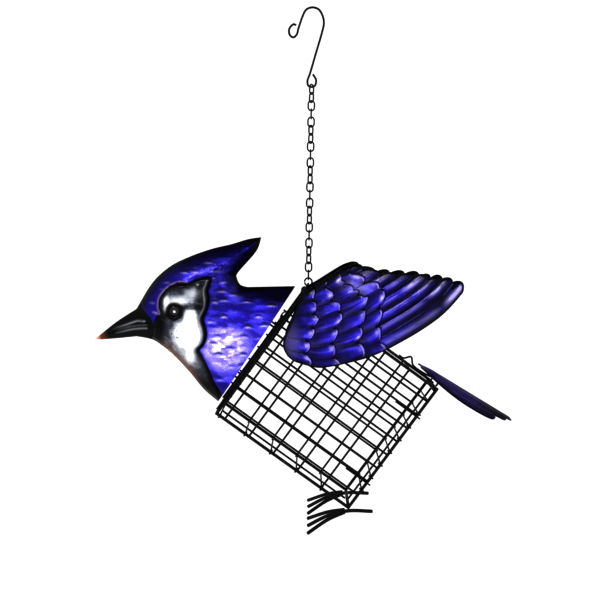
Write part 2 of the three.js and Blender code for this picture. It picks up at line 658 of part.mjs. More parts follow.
// Feet: level with the ground, under the cage's lower rear corners
const corner = at(CAGE_LENGTH, 0, -CAGE_BELOW_RING - CAGE_HEIGHT).applyAxisAngle(at(0, 1, 0), BODY_TILT);
const footDrop = FRAME_WIRE / 2 + GAP + TOE_WIRE / 2;
for (const side of [-1, 1]) {
  const foot = new THREE.Group();
  foot.position.set(corner.x, (side * CAGE_DEPTH) / 2, corner.z - footDrop);
  bird.add(foot);
  const centre = [
    at(HIND_TOE_LENGTH, 0, 0), at(0, 0, 0),
    at(-TOE_LENGTH / 2, 0, -TOE_DROP / 3), at(-TOE_LENGTH, 0, -TOE_DROP),
  ];
  place(`foot_${sideName(side)}_middle_toe`, bentWire(centre, TOE_WIRE, 12), black(), foot);
  for (const way of [-1, 1]) {
    const start = way * (TOE_WIRE + GAP);
    const points = [
      at(-TOE_WIRE, start, 0), at(-TOE_LENGTH / 2, start + (way * TOE_SPLAY) / 3, -TOE_DROP / 3),
      at(-TOE_LENGTH, way * TOE_SPLAY, -TOE_DROP),
    ];
    const where = way === side ? 'outer' : 'inner';
    place(`foot_${sideName(side)}_${where}_toe`, bentWire(points, TOE_WIRE, 8), black(), foot);
  }
}

export default feeder;
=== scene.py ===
"""Looks of a hanging suet feeder: a wire cage dressed as a crested jay in stamped, lacquered metal.

Sizes are in millimetres in the row frame: the origin is the inside top of the hook's bend, +Z is up and the
beak points to -X. The cage, head and wings are laid out in the bird's own frame, whose origin is the ring's
lowest point and whose X axis runs from the neck to the tail, 35 degrees nose up. Left is the side towards -Y.
"""

import json
import math

import bpy
import numpy as np
from mathutils import Matrix, Vector
from mathutils.geometry import delaunay_2d_cdt


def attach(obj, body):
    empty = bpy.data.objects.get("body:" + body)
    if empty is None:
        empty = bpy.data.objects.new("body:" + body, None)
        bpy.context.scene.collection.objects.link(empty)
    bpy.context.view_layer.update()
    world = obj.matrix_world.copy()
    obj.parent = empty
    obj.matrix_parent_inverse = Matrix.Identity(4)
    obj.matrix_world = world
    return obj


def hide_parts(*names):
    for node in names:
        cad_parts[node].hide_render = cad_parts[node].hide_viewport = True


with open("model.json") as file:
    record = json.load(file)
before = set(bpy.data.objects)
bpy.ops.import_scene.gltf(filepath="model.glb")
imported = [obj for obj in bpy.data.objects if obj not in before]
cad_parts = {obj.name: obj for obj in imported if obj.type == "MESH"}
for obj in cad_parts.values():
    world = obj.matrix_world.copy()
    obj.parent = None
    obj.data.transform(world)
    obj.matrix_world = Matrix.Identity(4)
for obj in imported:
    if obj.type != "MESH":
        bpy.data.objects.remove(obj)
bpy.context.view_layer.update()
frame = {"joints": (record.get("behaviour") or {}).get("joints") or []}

MM = 0.001
SIDES = ((-1, "left"), (1, "right"))
SHARP_EDGE = math.radians(50)

# Wire gauges, the gap between solids, the powder coat on them, and a cut wire's end as shares of its radius
HOOK_WIRE = 1.8
HOOK_TRIM = 0.03
LINK_WIRE = 1.1
RING_WIRE = 1.2
EYE_WIRE = 1.6
FRAME_WIRE = 2.4
MESH_WIRE = 1.5
RUNG_WIRE = 1.1
LIFT_WIRE = 1.4
TOE_WIRE = 3
WRAP_WIRE = 1.3
LACING_WIRE = 1.5
GAP = 0.3
COAT = 0.08
CAGE_COAT = 0.14
END_BEVEL = 0.35
END_SIZE = 0.62

# Hook, chain and ring
HOOK_DROP = 65.4
HOOK_EYE_PLAY = 0.7
LINK_COUNT = 24
LINK_LENGTH = 9.4
LINK_WIDTH = 6.7
LINK_BEAD_PLACES = (-0.35, -0.15, 0, 0.15, 0.35)
LINK_BEAD = (1.10, 1.16, 1.10)
RING_DIAMETER = 8
EYE_WIDTH = 8.8
WELD_SWELL = 0.5
WELD_RISE = 0.1

# Cage, between the centres of its frame wires
BODY_TILT = math.radians(35)
CAGE_LENGTH = 139
CAGE_HEIGHT = 127
CAGE_DEPTH = 50
CAGE_BELOW_RING = 5.8
LEFT_ROWS = np.linspace(13.2, 113.3, 8)
LEFT_COLUMNS = np.linspace(8.4, 110, 5)
RIGHT_ROWS = np.linspace(12.6, 107.8, 8)
RIGHT_COLUMNS = np.linspace(3.3, 110.5, 5)
CROSSING = 1.2
RUNG_CROSSING = 1.04
NECK_LOOP_DROP = 25.4
NECK_LOOP_LENGTH = 8.4
NECK_LOOP_REACH = 4.2
STUB_ROWS = (1, 6)
STUB_START = 117
STUB_OVERRUN = 4
LACING_ENDS = (31, 124)
WRAP_TURN = (-70, 190)
WRAP_LEAD = (0.5, 2)
PRONG = 2.5
PRONG_LEAN = 0.4
CURL_TURN = (-60, 210)

# Lid and lift wire
LID_RUNGS = np.linspace(26, CAGE_LENGTH, 5)
LID_CLEARANCE = 1.3
KNUCKLE_OFFSET = 18
KNUCKLE_TURN = (55, 345)
KNUCKLE_RUN = [(9, 0), (5.5, 0.3), (3.2, 1.1)]
LIFT_START, LIFT_PEAK, LIFT_FOOT, LIFT_END = 100, 109.5, 115, 158
LIFT_HEIGHT = 5
TAIL_POST_OFFSET = 15

# Head
HEAD_SHEET = 0.7
HEAD_LENGTH = 119.2
HEAD_HEIGHT = 156.8
HEAD_AHEAD_OF_RING = 4.3
BEAK_BELOW_RING = 146.6
HEAD_RISE = 13
HEAD_ROUNDING = 23
HEAD_MESH = 0.95
STAPLE_REACH = 20
STAPLE_CLEARANCE = 0.5
EYE_CENTRE = (-114.3, -22.6)
EYE_RING = 6.1
EYE_RING_WIRE = 1.8
EYE_DOME_RADIUS = 5
EYE_DOME_HEIGHT = 1.8
# Where the eye's painted catchlight sits from the eye's centre, and its size
EYE_CATCHLIGHT_PLACE = (0.3, -0.4)
EYE_CATCHLIGHT_SIZE = (1.0, 0.9)

# Wings
WING_SHEET = 0.8
WING_RISE = 5
WING_ROUNDING = 15
WING_STANDOFF = 26.95
WING_LENGTH = 108.4
WING_HEIGHT = 136.7
WING_AHEAD_OF_RING = 1.3
WING_BELOW_RING = 57.2
WING_BLACK_EDGE = 1.2
LONG_FEATHER_CROWN = 1.7
FEATHER_ROWS_SPAN = 100
SHORT_FEATHERS = 6
WING_STEPS = ((300, 200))

# Tail
TAIL_SHEET = 0.85
TAIL_START = 120
TAIL_LENGTH = 94
TAIL_WIDTH = 52
TAIL_ARCH = 7
TAIL_ABOVE_LID = 7
TAIL_CLIMB = 7.6
TAIL_STEPS = ((220, 181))

# Feet
TOE_LENGTH = 35
TOE_DROP = 14
TOE_SPLAY = 18.6
HIND_TOE_LENGTH = 21

joints = {joint["name"]: joint for joint in frame["joints"]}
PIVOT = Vector(joints["bird_swing"]["pos_m"]) / MM
BIRD = Matrix.Translation(PIVOT)
BODY = BIRD @ Matrix.Rotation(BODY_TILT, 4, "Y")
CAGE = BODY @ Matrix.Translation((0, 0, -CAGE_BELOW_RING))


def moved(points, matrix):
    """Points carried by a matrix."""
    return np.asarray(points, float) @ np.array(matrix.to_3x3()).T + np.array(matrix.translation)


def between(a, b, low, high, t):
    """The point at t on the straight line that passes a at low and b at high."""
    return ((high - t) * a + (t - low) * b) / (high - low)


def smooth_line(points, count=12):
    """A smooth line through a few points that keeps its bends tight: a centripetal spline."""
    line = [np.asarray(point, float) for point in points]
    line = [2 * line[0] - line[1]] + line + [2 * line[-1] - line[-2]]
    made = []
    for p0, p1, p2, p3 in zip(line, line[1:], line[2:], line[3:]):
        t1, t2, t3 = np.cumsum([math.sqrt(np.linalg.norm(step)) for step in (p1 - p0, p2 - p1, p3 - p2)])
        t = np.linspace(t1, t2, count, endpoint=False)[:, None]
        a1, a2, a3 = between(p0, p1, 0, t1, t), between(p1, p2, t1, t2, t), between(p2, p3, t2, t3, t)
        made.append(between(between(a1, a2, 0, t2, t), between(a2, a3, t1, t3, t), t1, t2, t))
    return np.vstack([*made, line[-2]])


def flat_spline(points, count=10):
    """A flat curve through points, its last point left out, as one run of an outline."""
    line = [np.asarray(point, float) for point in (points[0], *points, points[-1])]
    made = []
    for p0, p1, p2, p3 in zip(line, line[1:], line[2:], line[3:]):
        v0, v1 = (p2 - p0) / 2, (p3 - p1) / 2
        t = np.linspace(0, 1, count, endpoint=False)[:, None]
        made.append((2 * p1 - 2 * p2 + v0 + v1) * t**3 + (3 * p2 - 3 * p1 - 2 * v0 - v1) * t**2 + v0 * t + p1)
    return np.vstack(made)


def travelled(line):
    """How far along a line each of its points lies."""
    return np.concatenate([[0], np.cumsum(np.linalg.norm(np.diff(line, axis=0), axis=1))])


def evenly(line, count):
    """count points at equal distances along a flat line."""
    travel = travelled(line)
    wanted = np.linspace(0, travel[-1], count)
    return np.column_stack([np.interp(wanted, travel, line[:, k]) for k in (0, 1)])


def nearness(points, line):
    """Distance from each flat point to a line of straight steps."""
    best = np.full(len(points), np.inf)
    for a, b in zip(line, line[1:]):
        along = b - a
        share = np.clip(((points - a) @ along) / max(along @ along, 1e-9), 0, 1)
        best = np.minimum(best, np.linalg.norm(points - a - share[:, None] * along, axis=1))
    return best


def inside_by(points, loop):
    """Distance to a closed loop, positive inside it."""
    inside = np.zeros(len(points), bool)
    x, y = points.T
    for a, b in zip(loop, np.roll(loop, -1, axis=0)):
        if a[1] != b[1]:
            crosses = (a[1] > y) != (b[1] > y)
            inside ^= crosses & (x < a[0] + (y - a[1]) * (b[0] - a[0]) / (b[1] - a[1]))
    return np.where(inside, 1, -1) * nearness(points, np.vstack([loop, loop[:1]]))


def ease(value, low, high):
    """A smooth rise from 0 at low to 1 at high."""
    share = np.clip((np.asarray(value, float) - low) / (high - low), 0, 1)
    return share * share * (3 - 2 * share)


def ring_faces(rings, sides, closed=False):
    """Four-sided faces between rings of points, and from the last ring to the first if closed."""
    steps = [(i * sides, (i + 1) % rings * sides) for i in range(rings if closed else rings - 1)]
    return [(a + k, a + (k + 1) % sides, b + (k + 1) % sides, b + k) for a, b in steps for k in range(sides)]


def tube(path, radius, sides=12, closed=False):
    """Round wire along a path: its vertices and faces. Open wires have blunt, rounded ends."""
    path = np.asarray(path, float)
    if closed:
        tangents = np.roll(path, -1, axis=0) - np.roll(path, 1, axis=0)
    else:
        tangents = np.gradient(path, axis=0)
    tangents /= np.linalg.norm(tangents, axis=1, keepdims=True)
    radii = np.full(len(path), radius, float) if np.isscalar(radius) else np.asarray(radius, float)
    if not closed:
        bevel = END_BEVEL * radii[0]
        path = np.vstack([path[:1], path[:1] + bevel * tangents[0], path[1:-1],
                          path[-1:] - bevel * tangents[-1], path[-1:]])
        tangents = np.vstack([tangents[:1], tangents, tangents[-1:]])
        radii = np.concatenate([[END_SIZE * radii[0]], radii, [END_SIZE * radii[-1]]])
    normal = np.cross(tangents[0], (0.31, 0.88, 0.36))
    angles = np.linspace(0, 2 * math.pi, sides, endpoint=False)[:, None]
    rings = []
    for centre, tangent, size in zip(path, tangents, radii):
        normal = normal - tangent * (normal @ tangent)
        normal /= np.linalg.norm(normal)
        other = np.cross(tangent, normal)
        rings.append(centre + size * (np.cos(angles) * normal + np.sin(angles) * other))
    count = len(rings)
    faces = ring_faces(count, sides, closed)
    if not closed:
        faces.append(tuple(reversed(range(sides))))
        faces.append(tuple(range((count - 1) * sides, count * sides)))
    return np.vstack(rings), faces


def rod(a, b, gauge, sides=12):
    """A straight coated wire of the cage."""
    return tube([a, b], gauge / 2 + CAGE_COAT, sides)


def bent(path, gauge, sides):
    """A coated wire along a path."""
    return tube(path, gauge / 2 + COAT, sides)


def arc(centre, radius, start, end, count, first=(1, 0, 0), second=(0, 0, 1)):
    """Points on an arc in the plane of two unit directions, between two angles in degrees."""
    angles = np.radians(np.linspace(start, end, count))[:, None]
    return np.array(centre) + radius * (np.cos(angles) * np.array(first) + np.sin(angles) * np.array(second))


def grid_faces(rows, columns):
    """Four-sided faces of a sheet whose points run row by row."""
    return [
        (j * columns + i, j * columns + i + 1, (j + 1) * columns + i + 1, (j + 1) * columns + i)
        for j in range(rows - 1) for i in range(columns - 1)
    ]


def bulge(edge, rise, rounding):
    """Height of a pressed sheet that rises within some distance of its edge."""
    return rise * np.sin(math.pi / 2 * np.minimum(edge / rounding, 1))


def flank(points, side, out):
    """Flat points stood upright on one side of the bird, at their distances from its middle."""
    return np.column_stack([points[:, 0], side * out, points[:, 1]])


def facing(side, faces):
    """Faces drawn for the left side, turned over where they are on the right."""
    return [tuple(reversed(face)) for face in faces] if side > 0 else faces


def sheet_metal(outer, inner, faces):
    """A sheet with two sides and a rim: its vertices and faces."""
    count = len(outer)
    edges = dict.fromkeys((a, b) for face in faces for a, b in zip(face, face[1:] + face[:1]))
    rim = [(b, a, a + count, b + count) for a, b in edges if (b, a) not in edges]
    back = [tuple(reversed([i + count for i in face])) for face in faces]
    return np.vstack([outer, inner]), list(faces) + back + rim


def add_object(name, data):
    """A new object of the scene."""
    made = bpy.data.objects.new(name, data)
    bpy.context.scene.collection.objects.link(made)
    return made


def piece(name, parts, material, body, nodes, fields, matrix):
    """One mesh object that stands for CAD nodes and rides on their body."""
    vertices, faces, count = [], [], 0
    for part_vertices, part_faces in parts:
        vertices.append(part_vertices)
        faces.extend([tuple(i + count for i in face) for face in part_faces])
        count += len(part_vertices)
    mesh = bpy.data.meshes.new(name)
    mesh.from_pydata((moved(np.vstack(vertices), matrix) * MM).tolist(), [], faces)
    for field, values in fields.items():
        mesh.attributes.new(field, "FLOAT", "POINT").data.foreach_set("value", np.asarray(values, np.float32))
    mesh.materials.append(material)
    mesh.shade_smooth()
    made = add_object(name, mesh)
    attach(made, body)
    if nodes:
        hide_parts(*nodes)
    return made


def sheet_piece(node, outer, inner, faces, material, body, fields, matrix):
    """A stamped sheet in the place of a CAD node. Its field inner is 1 on its back."""
    both = {name: np.tile(values, 2) for name, values in fields.items()}
    both["inner"] = np.repeat([0, 1], len(outer))
    sheet = sheet_metal(outer, inner, faces)
    made = piece(f"{node}_sheet", [sheet], material, body, [node], both, matrix)
    made.data.set_sharp_from_angle(angle=SHARP_EDGE)


class Surface:
    """A material put together from shader nodes."""

    def __init__(self, name, **settings):
        self.material = bpy.data.materials.new(name)
        self.material.use_nodes = True
        self.nodes = self.material.node_tree.nodes
        self.links = self.material.node_tree.links
        self.shader = self.nodes["Principled BSDF"]
        self.place = self.nodes.new("ShaderNodeTexCoord").outputs["Object"]
        for socket, value in settings.items():
            self.shader.inputs[socket.replace("_", " ")].default_value = value

    def feed(self, socket, value):
        """Links a node's output, or the field of the mesh's points with that name, or sets a value."""
        if isinstance(value, str):
            node = self.nodes.new("ShaderNodeAttribute")
            node.attribute_name = value
            value = node.outputs["Fac"]
        if isinstance(value, bpy.types.NodeSocket):
            self.links.new(value, socket)
        else:
            socket.default_value = value

    def math(self, operation, a, b):
        """Two values put together by an operation."""
        node = self.nodes.new("ShaderNodeMath")
        node.operation = operation
        self.feed(node.inputs[0], a)
        self.feed(node.inputs[1], b)
        return node.outputs[0]

    def times(self, a, b):
        """The product of two values."""
        return self.math("MULTIPLY", a, b)

    def uneven(self, value, noise, depth):
        """A value that noise shifts by up to half a depth either way."""
        return self.math("ADD", value, self.times(self.math("SUBTRACT", noise, 0.5), depth))

    def ease(self, value, low, high, start=0.0, end=1.0):
        """A smooth change from start to end as a value goes from low to high."""
        node = self.nodes.new("ShaderNodeMapRange")
        node.interpolation_type = "SMOOTHSTEP"
        for socket, wanted in zip(node.inputs, (value, low, high, start, end)):
            self.feed(socket, wanted)
        return node.outputs[0]

    def layered(self, colour, *layers):
        """A colour with others laid over it, each by its own share."""
        for share, top in layers:
            node = self.nodes.new("ShaderNodeMix")
            node.data_type = "RGBA"
            for index, wanted in ((0, share), (6, colour), (7, top)):
                self.feed(node.inputs[index], wanted)
            colour = node.outputs[2]
        return colour

    def noise(self, feature, detail=3.0, stretch=(1, 1, 1), fields=None):
        """Noise with blotches as large as a feature in millimetres, in space or over two fields."""
        place = self.place
        if fields:
            combined = self.nodes.new("ShaderNodeCombineXYZ")
            for socket, name in zip(combined.inputs, fields):
                self.feed(socket, name)
            place = combined.outputs["Vector"]
        mapping = self.nodes.new("ShaderNodeMapping")
        mapping.inputs["Scale"].default_value = stretch
        self.feed(mapping.inputs["Vector"], place)
        node = self.nodes.new("ShaderNodeTexNoise")
        node.inputs["Scale"].default_value = 1 / (feature * MM)
        node.inputs["Detail"].default_value = detail
        self.feed(node.inputs["Vector"], mapping.outputs["Vector"])
        return node.outputs["Fac"]

    def bump(self, height, depth):
        """Bumps of a depth in millimetres for a height that goes from 0 to 1."""
        node = self.nodes.new("ShaderNodeBump")
        node.inputs["Distance"].default_value = depth * MM
        self.feed(node.inputs["Height"], height)
        self.feed(self.shader.inputs["Normal"], node.outputs["Normal"])

    def finish(self, colour, roughness):
        """The material, with its colour and roughness."""
        self.feed(self.shader.inputs["Base Color"], colour)
        self.feed(self.shader.inputs["Roughness"], roughness)
        return self.material


BLACK = (0.004, 0.004, 0.005, 1)
WORN_BLACK = (0.028, 0.027, 0.029, 1)
MIDNIGHT = (0.007, 0.005, 0.030, 1)
DEEP_BLUE = (0.012, 0.006, 0.11, 1)
SHADE_BLUE = (0.011, 0.006, 0.075, 1)
BLUE = (0.030, 0.012, 0.34, 1)
BRIGHT_BLUE = (0.105, 0.075, 0.85, 1)
LAVENDER = (0.27, 0.22, 1.0, 1)
PALE_LAVENDER = (0.56, 0.50, 1.0, 1)
PEARL = (0.90, 0.80, 1.0, 1)
SILVER = (0.62, 0.64, 0.70, 1)
WHITE = (1.0, 1.0, 1.0, 1)
SLATE = (0.075, 0.082, 0.11, 1)
SMOKE = (0.015, 0.015, 0.018, 1)
BROWN = (0.20, 0.08, 0.045, 1)
INDIGO = (0.075, 0.042, 0.215, 1)
PEACH = (0.95, 0.42, 0.22, 1)
PINK_GREY = (0.34, 0.27, 0.33, 1)
LACQUER = {"Metallic": 0.85, "Coat_Weight": 0.35, "Coat_Roughness": 0.12, "Coat_IOR": 1.45}
ENAMEL = {"Coat_Weight": 1.0, "Coat_Roughness": 0.04, "Coat_IOR": 1.6}


def powder_coat(name, gloss):
    """Black coating on wire, with fine orange peel and a little wear."""
    surface = Surface(name, Specular_IOR_Level=0.28)
    peel = surface.noise(0.5, 2)
    wear = surface.noise(7, 5)
    surface.bump(peel, 0.04)
    colour = surface.layered(BLACK, (surface.ease(wear, 0.58, 0.80), WORN_BLACK))
    return surface.finish(colour, surface.ease(wear, 0.3, 0.7, gloss, gloss + 0.14))


def blue_enamel(surface):
    """Streaked blue that darkens to black at the outline, under painted light: brighter blue low on the neck,
    a painted lavender sheen with painted highlights, painted glints on the crown and on the dimples' lips,
    and painted shade in the dimples.
    """
    streaks = surface.noise(7, 4, (0.45, 1, 1.2))
    glint_flecks = surface.noise(2.2, 3, (0.6, 1, 1))
    blotches = surface.noise(4, 3, (0.5, 1, 1))
    edge = surface.uneven("edge", streaks, 6.0)
    return surface.layered(
        BLUE,
        (surface.times("lit", surface.ease(streaks, 0.44, 0.66)), BRIGHT_BLUE),
        (surface.times("sheen", surface.ease(streaks, 0.30, 0.52, 0.72, 1.0)), LAVENDER),
        (surface.times("highlight_bloom", surface.ease(blotches, 0.42, 0.62)), PEARL),
        (surface.times("glint_flecks", surface.ease(glint_flecks, 0.56, 0.66)), LAVENDER),
        ("lip_highlight", PALE_LAVENDER),
        ("crease_shade", DEEP_BLUE),
        ("dusk", MIDNIGHT),
        (surface.ease(edge, 3.5, 13.0, 1.0, 0.0), DEEP_BLUE),
        (surface.ease(edge, 1.2, 3.6, 1.0, 0.0), BLACK),
    )


def face_enamel(surface):
    """White cheek and brow that fade to black at the outline and brown at the throat, under black markings,
    painted shade and a small painted highlight.
    """
    grain = surface.noise(2.0, 4)
    cheek = surface.uneven("cheek", surface.noise(6, 3), 0.6)
    surface.feed(surface.shader.inputs["Metallic"], surface.ease(cheek, 0.35, 0.8, 0.85, 0.0))
    return surface.layered(
        SLATE,
        (surface.ease(cheek, 0.05, 0.55), SILVER),
        (surface.ease(cheek, 0.50, 0.80), WHITE),
        (surface.times("specks", surface.ease(grain, 0.60, 0.66)), SLATE),
        ("throat", BROWN),
        (surface.ease("patch", 1.0, 5.5, 1.0, 0.0), SMOKE),
        ("black_marks_and_shade", BLACK),
        ("glow", SILVER),
    )


def head_lacquer():
    """Blue crown and neck, a white face patch in a black outline, and a black beak with an orange tip, with
    painted highlights along the patch's rear seam and the beak's ridges.
    """
    surface = Surface("head_lacquer", **LACQUER)
    grain = surface.noise(1.8, 3)
    beak = surface.layered(
        BLACK,
        ("stripe", SILVER),
        (surface.ease("tip", 6.0, 13.0, 1.0, 0.0), BROWN),
        (surface.ease("tip", 2.0, 5.5, 1.0, 0.0), PEACH),
    )
    colour = surface.layered(
        blue_enamel(surface),
        (surface.ease("patch", -1.2, 0.2), BLACK),
        ("ridge", PINK_GREY),
        (surface.ease("patch", 0.6, 1.8), face_enamel(surface)),
        ("seam", SILVER),
        (surface.ease("beak", -0.8, 0.8), beak),
        ("inner", BLACK),
    )
    surface.bump(surface.math("ADD", grain, surface.noise(5, 3)), 0.12)
    return surface.finish(colour, surface.ease(grain, 0.3, 0.7, 0.26, 0.42))


def wing_lacquer():
    """Blue feathers with painted highlights at their tips, painted light on their crowns, painted shade at
    their roots, sides and seams, darker towards the upper tips, some edges and the front edge, and a black
    edge.
    """
    surface = Surface("wing_lacquer", **LACQUER)
    cloud = surface.noise(9, 4)
    streak = surface.noise(2.6, 4, (0.22, 1, 1), ("travel", "across"))
    back = surface.layered(BLACK, (surface.ease(streak, 0.35, 0.65), SHADE_BLUE))
    colour = surface.layered(
        BLUE,
        (surface.ease(cloud, 0.42, 0.66, 0.0, 0.5), BRIGHT_BLUE),
        (surface.times("lit", 0.22), BRIGHT_BLUE),
        (surface.times("shade", surface.ease(streak, 0.30, 0.60, 0.55, 1.0)), SHADE_BLUE),
        (surface.times("dusk", surface.ease(streak, 0.34, 0.56, 0.35, 1.0)), MIDNIGHT),
        (surface.times("glint", surface.ease(streak, 0.24, 0.46)), PALE_LAVENDER),
        (surface.ease("glint", 0.6, 1.0, 0.0, 0.25), PEARL),
        ("crease_shade", MIDNIGHT),
        # Painted highlight: thin light crescents at the feather tips.
        ("rim", PALE_LAVENDER),
        (surface.ease("edge", 0.7, 2.4, 1.0, 0.0), BLACK),
        ("inner", back),
    )
    surface.bump(surface.math("ADD", streak, surface.times(cloud, 1.5)), 0.12)
    return surface.finish(colour, surface.ease(streak, 0.3, 0.7, 0.24, 0.40))


def tail_lacquer():
    """Indigo feathers with fine lengthwise streaks, painted light on their crowns and painted shade between
    them, black at their ends and edges.
    """
    surface = Surface("tail_lacquer", Metallic=0.35, Specular_IOR_Level=0.15)
    streak = surface.noise(3, 4, (0.12, 1, 0.4), ("travel", "across"))
    colour = surface.layered(
        DEEP_BLUE,
        (surface.ease(streak, 0.35, 0.65), INDIGO),
        (surface.times("lit", surface.ease(streak, 0.4, 0.6)), INDIGO),
        (surface.times("fade", surface.ease(streak, 0.2, 0.6, 1.0, 0.85)), BLACK),
        ("crease_shade", BLACK),
        ("inner", MIDNIGHT),
    )
    surface.bump(streak, 0.15)
    return surface.finish(colour, surface.ease(streak, 0.3, 0.7, 0.42, 0.56))


def eye_enamel():
    """Glossy black enamel of the eyes, with a painted white catchlight."""
    surface = Surface("eye_enamel", Specular_IOR_Level=0.3, **ENAMEL)
    speck = surface.noise(1.2, 3)
    surface.bump(speck, 0.02)
    colour = surface.layered(BLACK, (surface.ease(speck, 0.5, 0.8), WORN_BLACK), ("catchlight", WHITE))
    return surface.finish(colour, 0.22)


coat = powder_coat("black_powder_coat", 0.36)
chain_coat = powder_coat("black_chain_coat", 0.28)
head_finish = head_lacquer()
wing_finish = wing_lacquer()
tail_finish = tail_lacquer()
eye_finish = eye_enamel()


def wire_piece(node, parts, body, matrix=Matrix(), material=coat):
    """Coated wires in the place of one CAD node."""
    piece(f"{node}_wire", parts, material, body, [node], {}, matrix)


# Hook: a curl on the short end, the bend, a slanted shank and a drop-shaped eye, as shares of its drop
HOOK_SHARES = [
    (-0.214, 0.215), (-0.25, 0.203), (-0.303, 0.262), (-0.298, 0.335), (-0.252, 0.37), (-0.207, 0.335),
    (-0.183, 0.249), (-0.106, 0.04), (-0.07, 0.003), (0, -0.014), (0.075, 0.012), (0.13, 0.1),
    (0.144, 0.192), (0.124, 0.295), (0.05, 0.56), (-0.024, 0.826), (-0.057, 0.93), (-0.042, 0.985),
    (0, 1), (0.042, 0.982), (0.056, 0.91), (0.014, 0.837),
]
hook_line = smooth_line([(x * HOOK_DROP, 0, -down * HOOK_DROP) for x, down in HOOK_SHARES], 8)
wire_piece("hanging_hook", [tube(hook_line, HOOK_WIRE / 2 - HOOK_TRIM, 20)], "hook")


def seat(support_wire, wire, play=GAP):
    """How far a wire's centre lies above the centre of the wire that it hangs on."""
    return (support_wire + wire) / 2 + play


def on_chain(joint, rise):
    """The place of a link or ring: its plane and its top come from the joint that it swings on."""
    x, y, _ = joints[joint]["axis"]
    top = joints[joint]["pos_m"][2] / MM + rise
    return Matrix.Translation((0, 0, top)) @ Matrix.Rotation(math.atan2(x, -y), 4, "Z")


def chain_link(number):
    """An oval link with a small bead where its wire is butt-welded, hung from its own top."""
    name = f"chain_link_{number:02d}"
    radius = (LINK_WIDTH - LINK_WIRE) / 2
    middle = (LINK_WIRE - LINK_LENGTH) / 2
    half = (LINK_LENGTH - LINK_WIDTH) / 2
    upper = arc((0, 0, middle + half), radius, 0, 180, 13)
    lower = arc((0, 0, middle - half), radius, 180, 360, 13)
    side = [(radius, 0, middle + share * half) for share in LINK_BEAD_PLACES]
    line = np.vstack([upper, lower, side])
    gauge = np.full(len(line), LINK_WIRE / 2 + COAT)
    gauge[-4:-1] *= LINK_BEAD
    rise = seat(HOOK_WIRE, LINK_WIRE, HOOK_EYE_PLAY) if number == 1 else seat(LINK_WIRE, LINK_WIRE)
    wire_piece(name, [tube(line, gauge, 14, closed=True)], name, on_chain(f"{name}_swing", rise), chain_coat)


for number in range(1, LINK_COUNT + 1):
    chain_link(number)

ring_radius = (RING_DIAMETER - RING_WIRE) / 2
ring_line = arc((0, 0, -ring_radius), ring_radius, 0, 353, 56)
ring_place = on_chain("ring_swing", seat(LINK_WIRE, RING_WIRE))
wire_piece("chain_ring", [bent(ring_line, RING_WIRE, 16)], "ring", ring_place, chain_coat)


def hanging_eye():
    """An upside-down U, welded on the neck's top wire, that rides on the ring."""
    apex = Matrix.Rotation(-BODY_TILT, 3, "Y") @ Vector((0, 0, seat(RING_WIRE, EYE_WIRE)))
    post = apex + Vector((0, 0, CAGE_BELOW_RING))
    radius = (EYE_WIDTH - EYE_WIRE) / 2
    foot = FRAME_WIRE / 2 + GAP
    bend = arc((0, 0, post.length - radius), radius, 0, 180, 21, (0, -1, 0))
    line = np.vstack([[(0, -radius, foot)], bend, [(0, radius, foot)]])
    parts = [bent(line, EYE_WIRE, 16)]
    for y in (-radius, radius):
        parts.append(rod((0, y, foot + WELD_RISE), (0, y, FRAME_WIRE / 2), EYE_WIRE + WELD_SWELL, 16))
    place = CAGE @ Matrix.Rotation(math.atan2(post.x, post.z), 4, "Y")
    wire_piece("hanging_eye", parts, "bird", place)


hanging_eye()

WRAP_RADIUS = (FRAME_WIRE + WRAP_WIRE) / 2
HALF_SPAN = CAGE_DEPTH / 2 - FRAME_WIRE / 2 - 2 * GAP
LID_LEDGE = -(MESH_WIRE / 2 + GAP + FRAME_WIRE / 2)


def side_grid(side, side_name, rows, columns, stubs):
    """Four frame wires, lengthwise rows inside them and upright columns outside them."""
    y = side * CAGE_DEPTH / 2
    inner = y - side * CROSSING / 2
    outer = y + side * CROSSING / 2
    over = FRAME_WIRE / 2
    parts = [rod((-over, y, z), (CAGE_LENGTH + over, y, z), FRAME_WIRE, 18) for z in (0, -CAGE_HEIGHT)]
    parts += [rod((x, y, 0), (x, y, -CAGE_HEIGHT), FRAME_WIRE, 18) for x in (0, CAGE_LENGTH)]
    parts += [rod((0, inner, -row), (CAGE_LENGTH, inner, -row), MESH_WIRE, 14) for row in rows]
    parts += [rod((column, outer, 0), (column, outer, -CAGE_HEIGHT), MESH_WIRE, 14) for column in columns]
    for row in stubs:
        z = -rows[row] - MESH_WIRE
        parts.append(rod((STUB_START, inner, z), (CAGE_LENGTH + STUB_OVERRUN, inner, z), RUNG_WIRE))
    wire_piece(f"side_grid_{side_name}", parts, "bird", CAGE)


side_grid(-1, "left", LEFT_ROWS, LEFT_COLUMNS, STUB_ROWS)
side_grid(1, "right", RIGHT_ROWS, RIGHT_COLUMNS, ())


def rung(x, z, diameter):
    """A wire across the inside of the cage."""
    return rod((x, -HALF_SPAN, z), (x, HALF_SPAN, z), diameter)


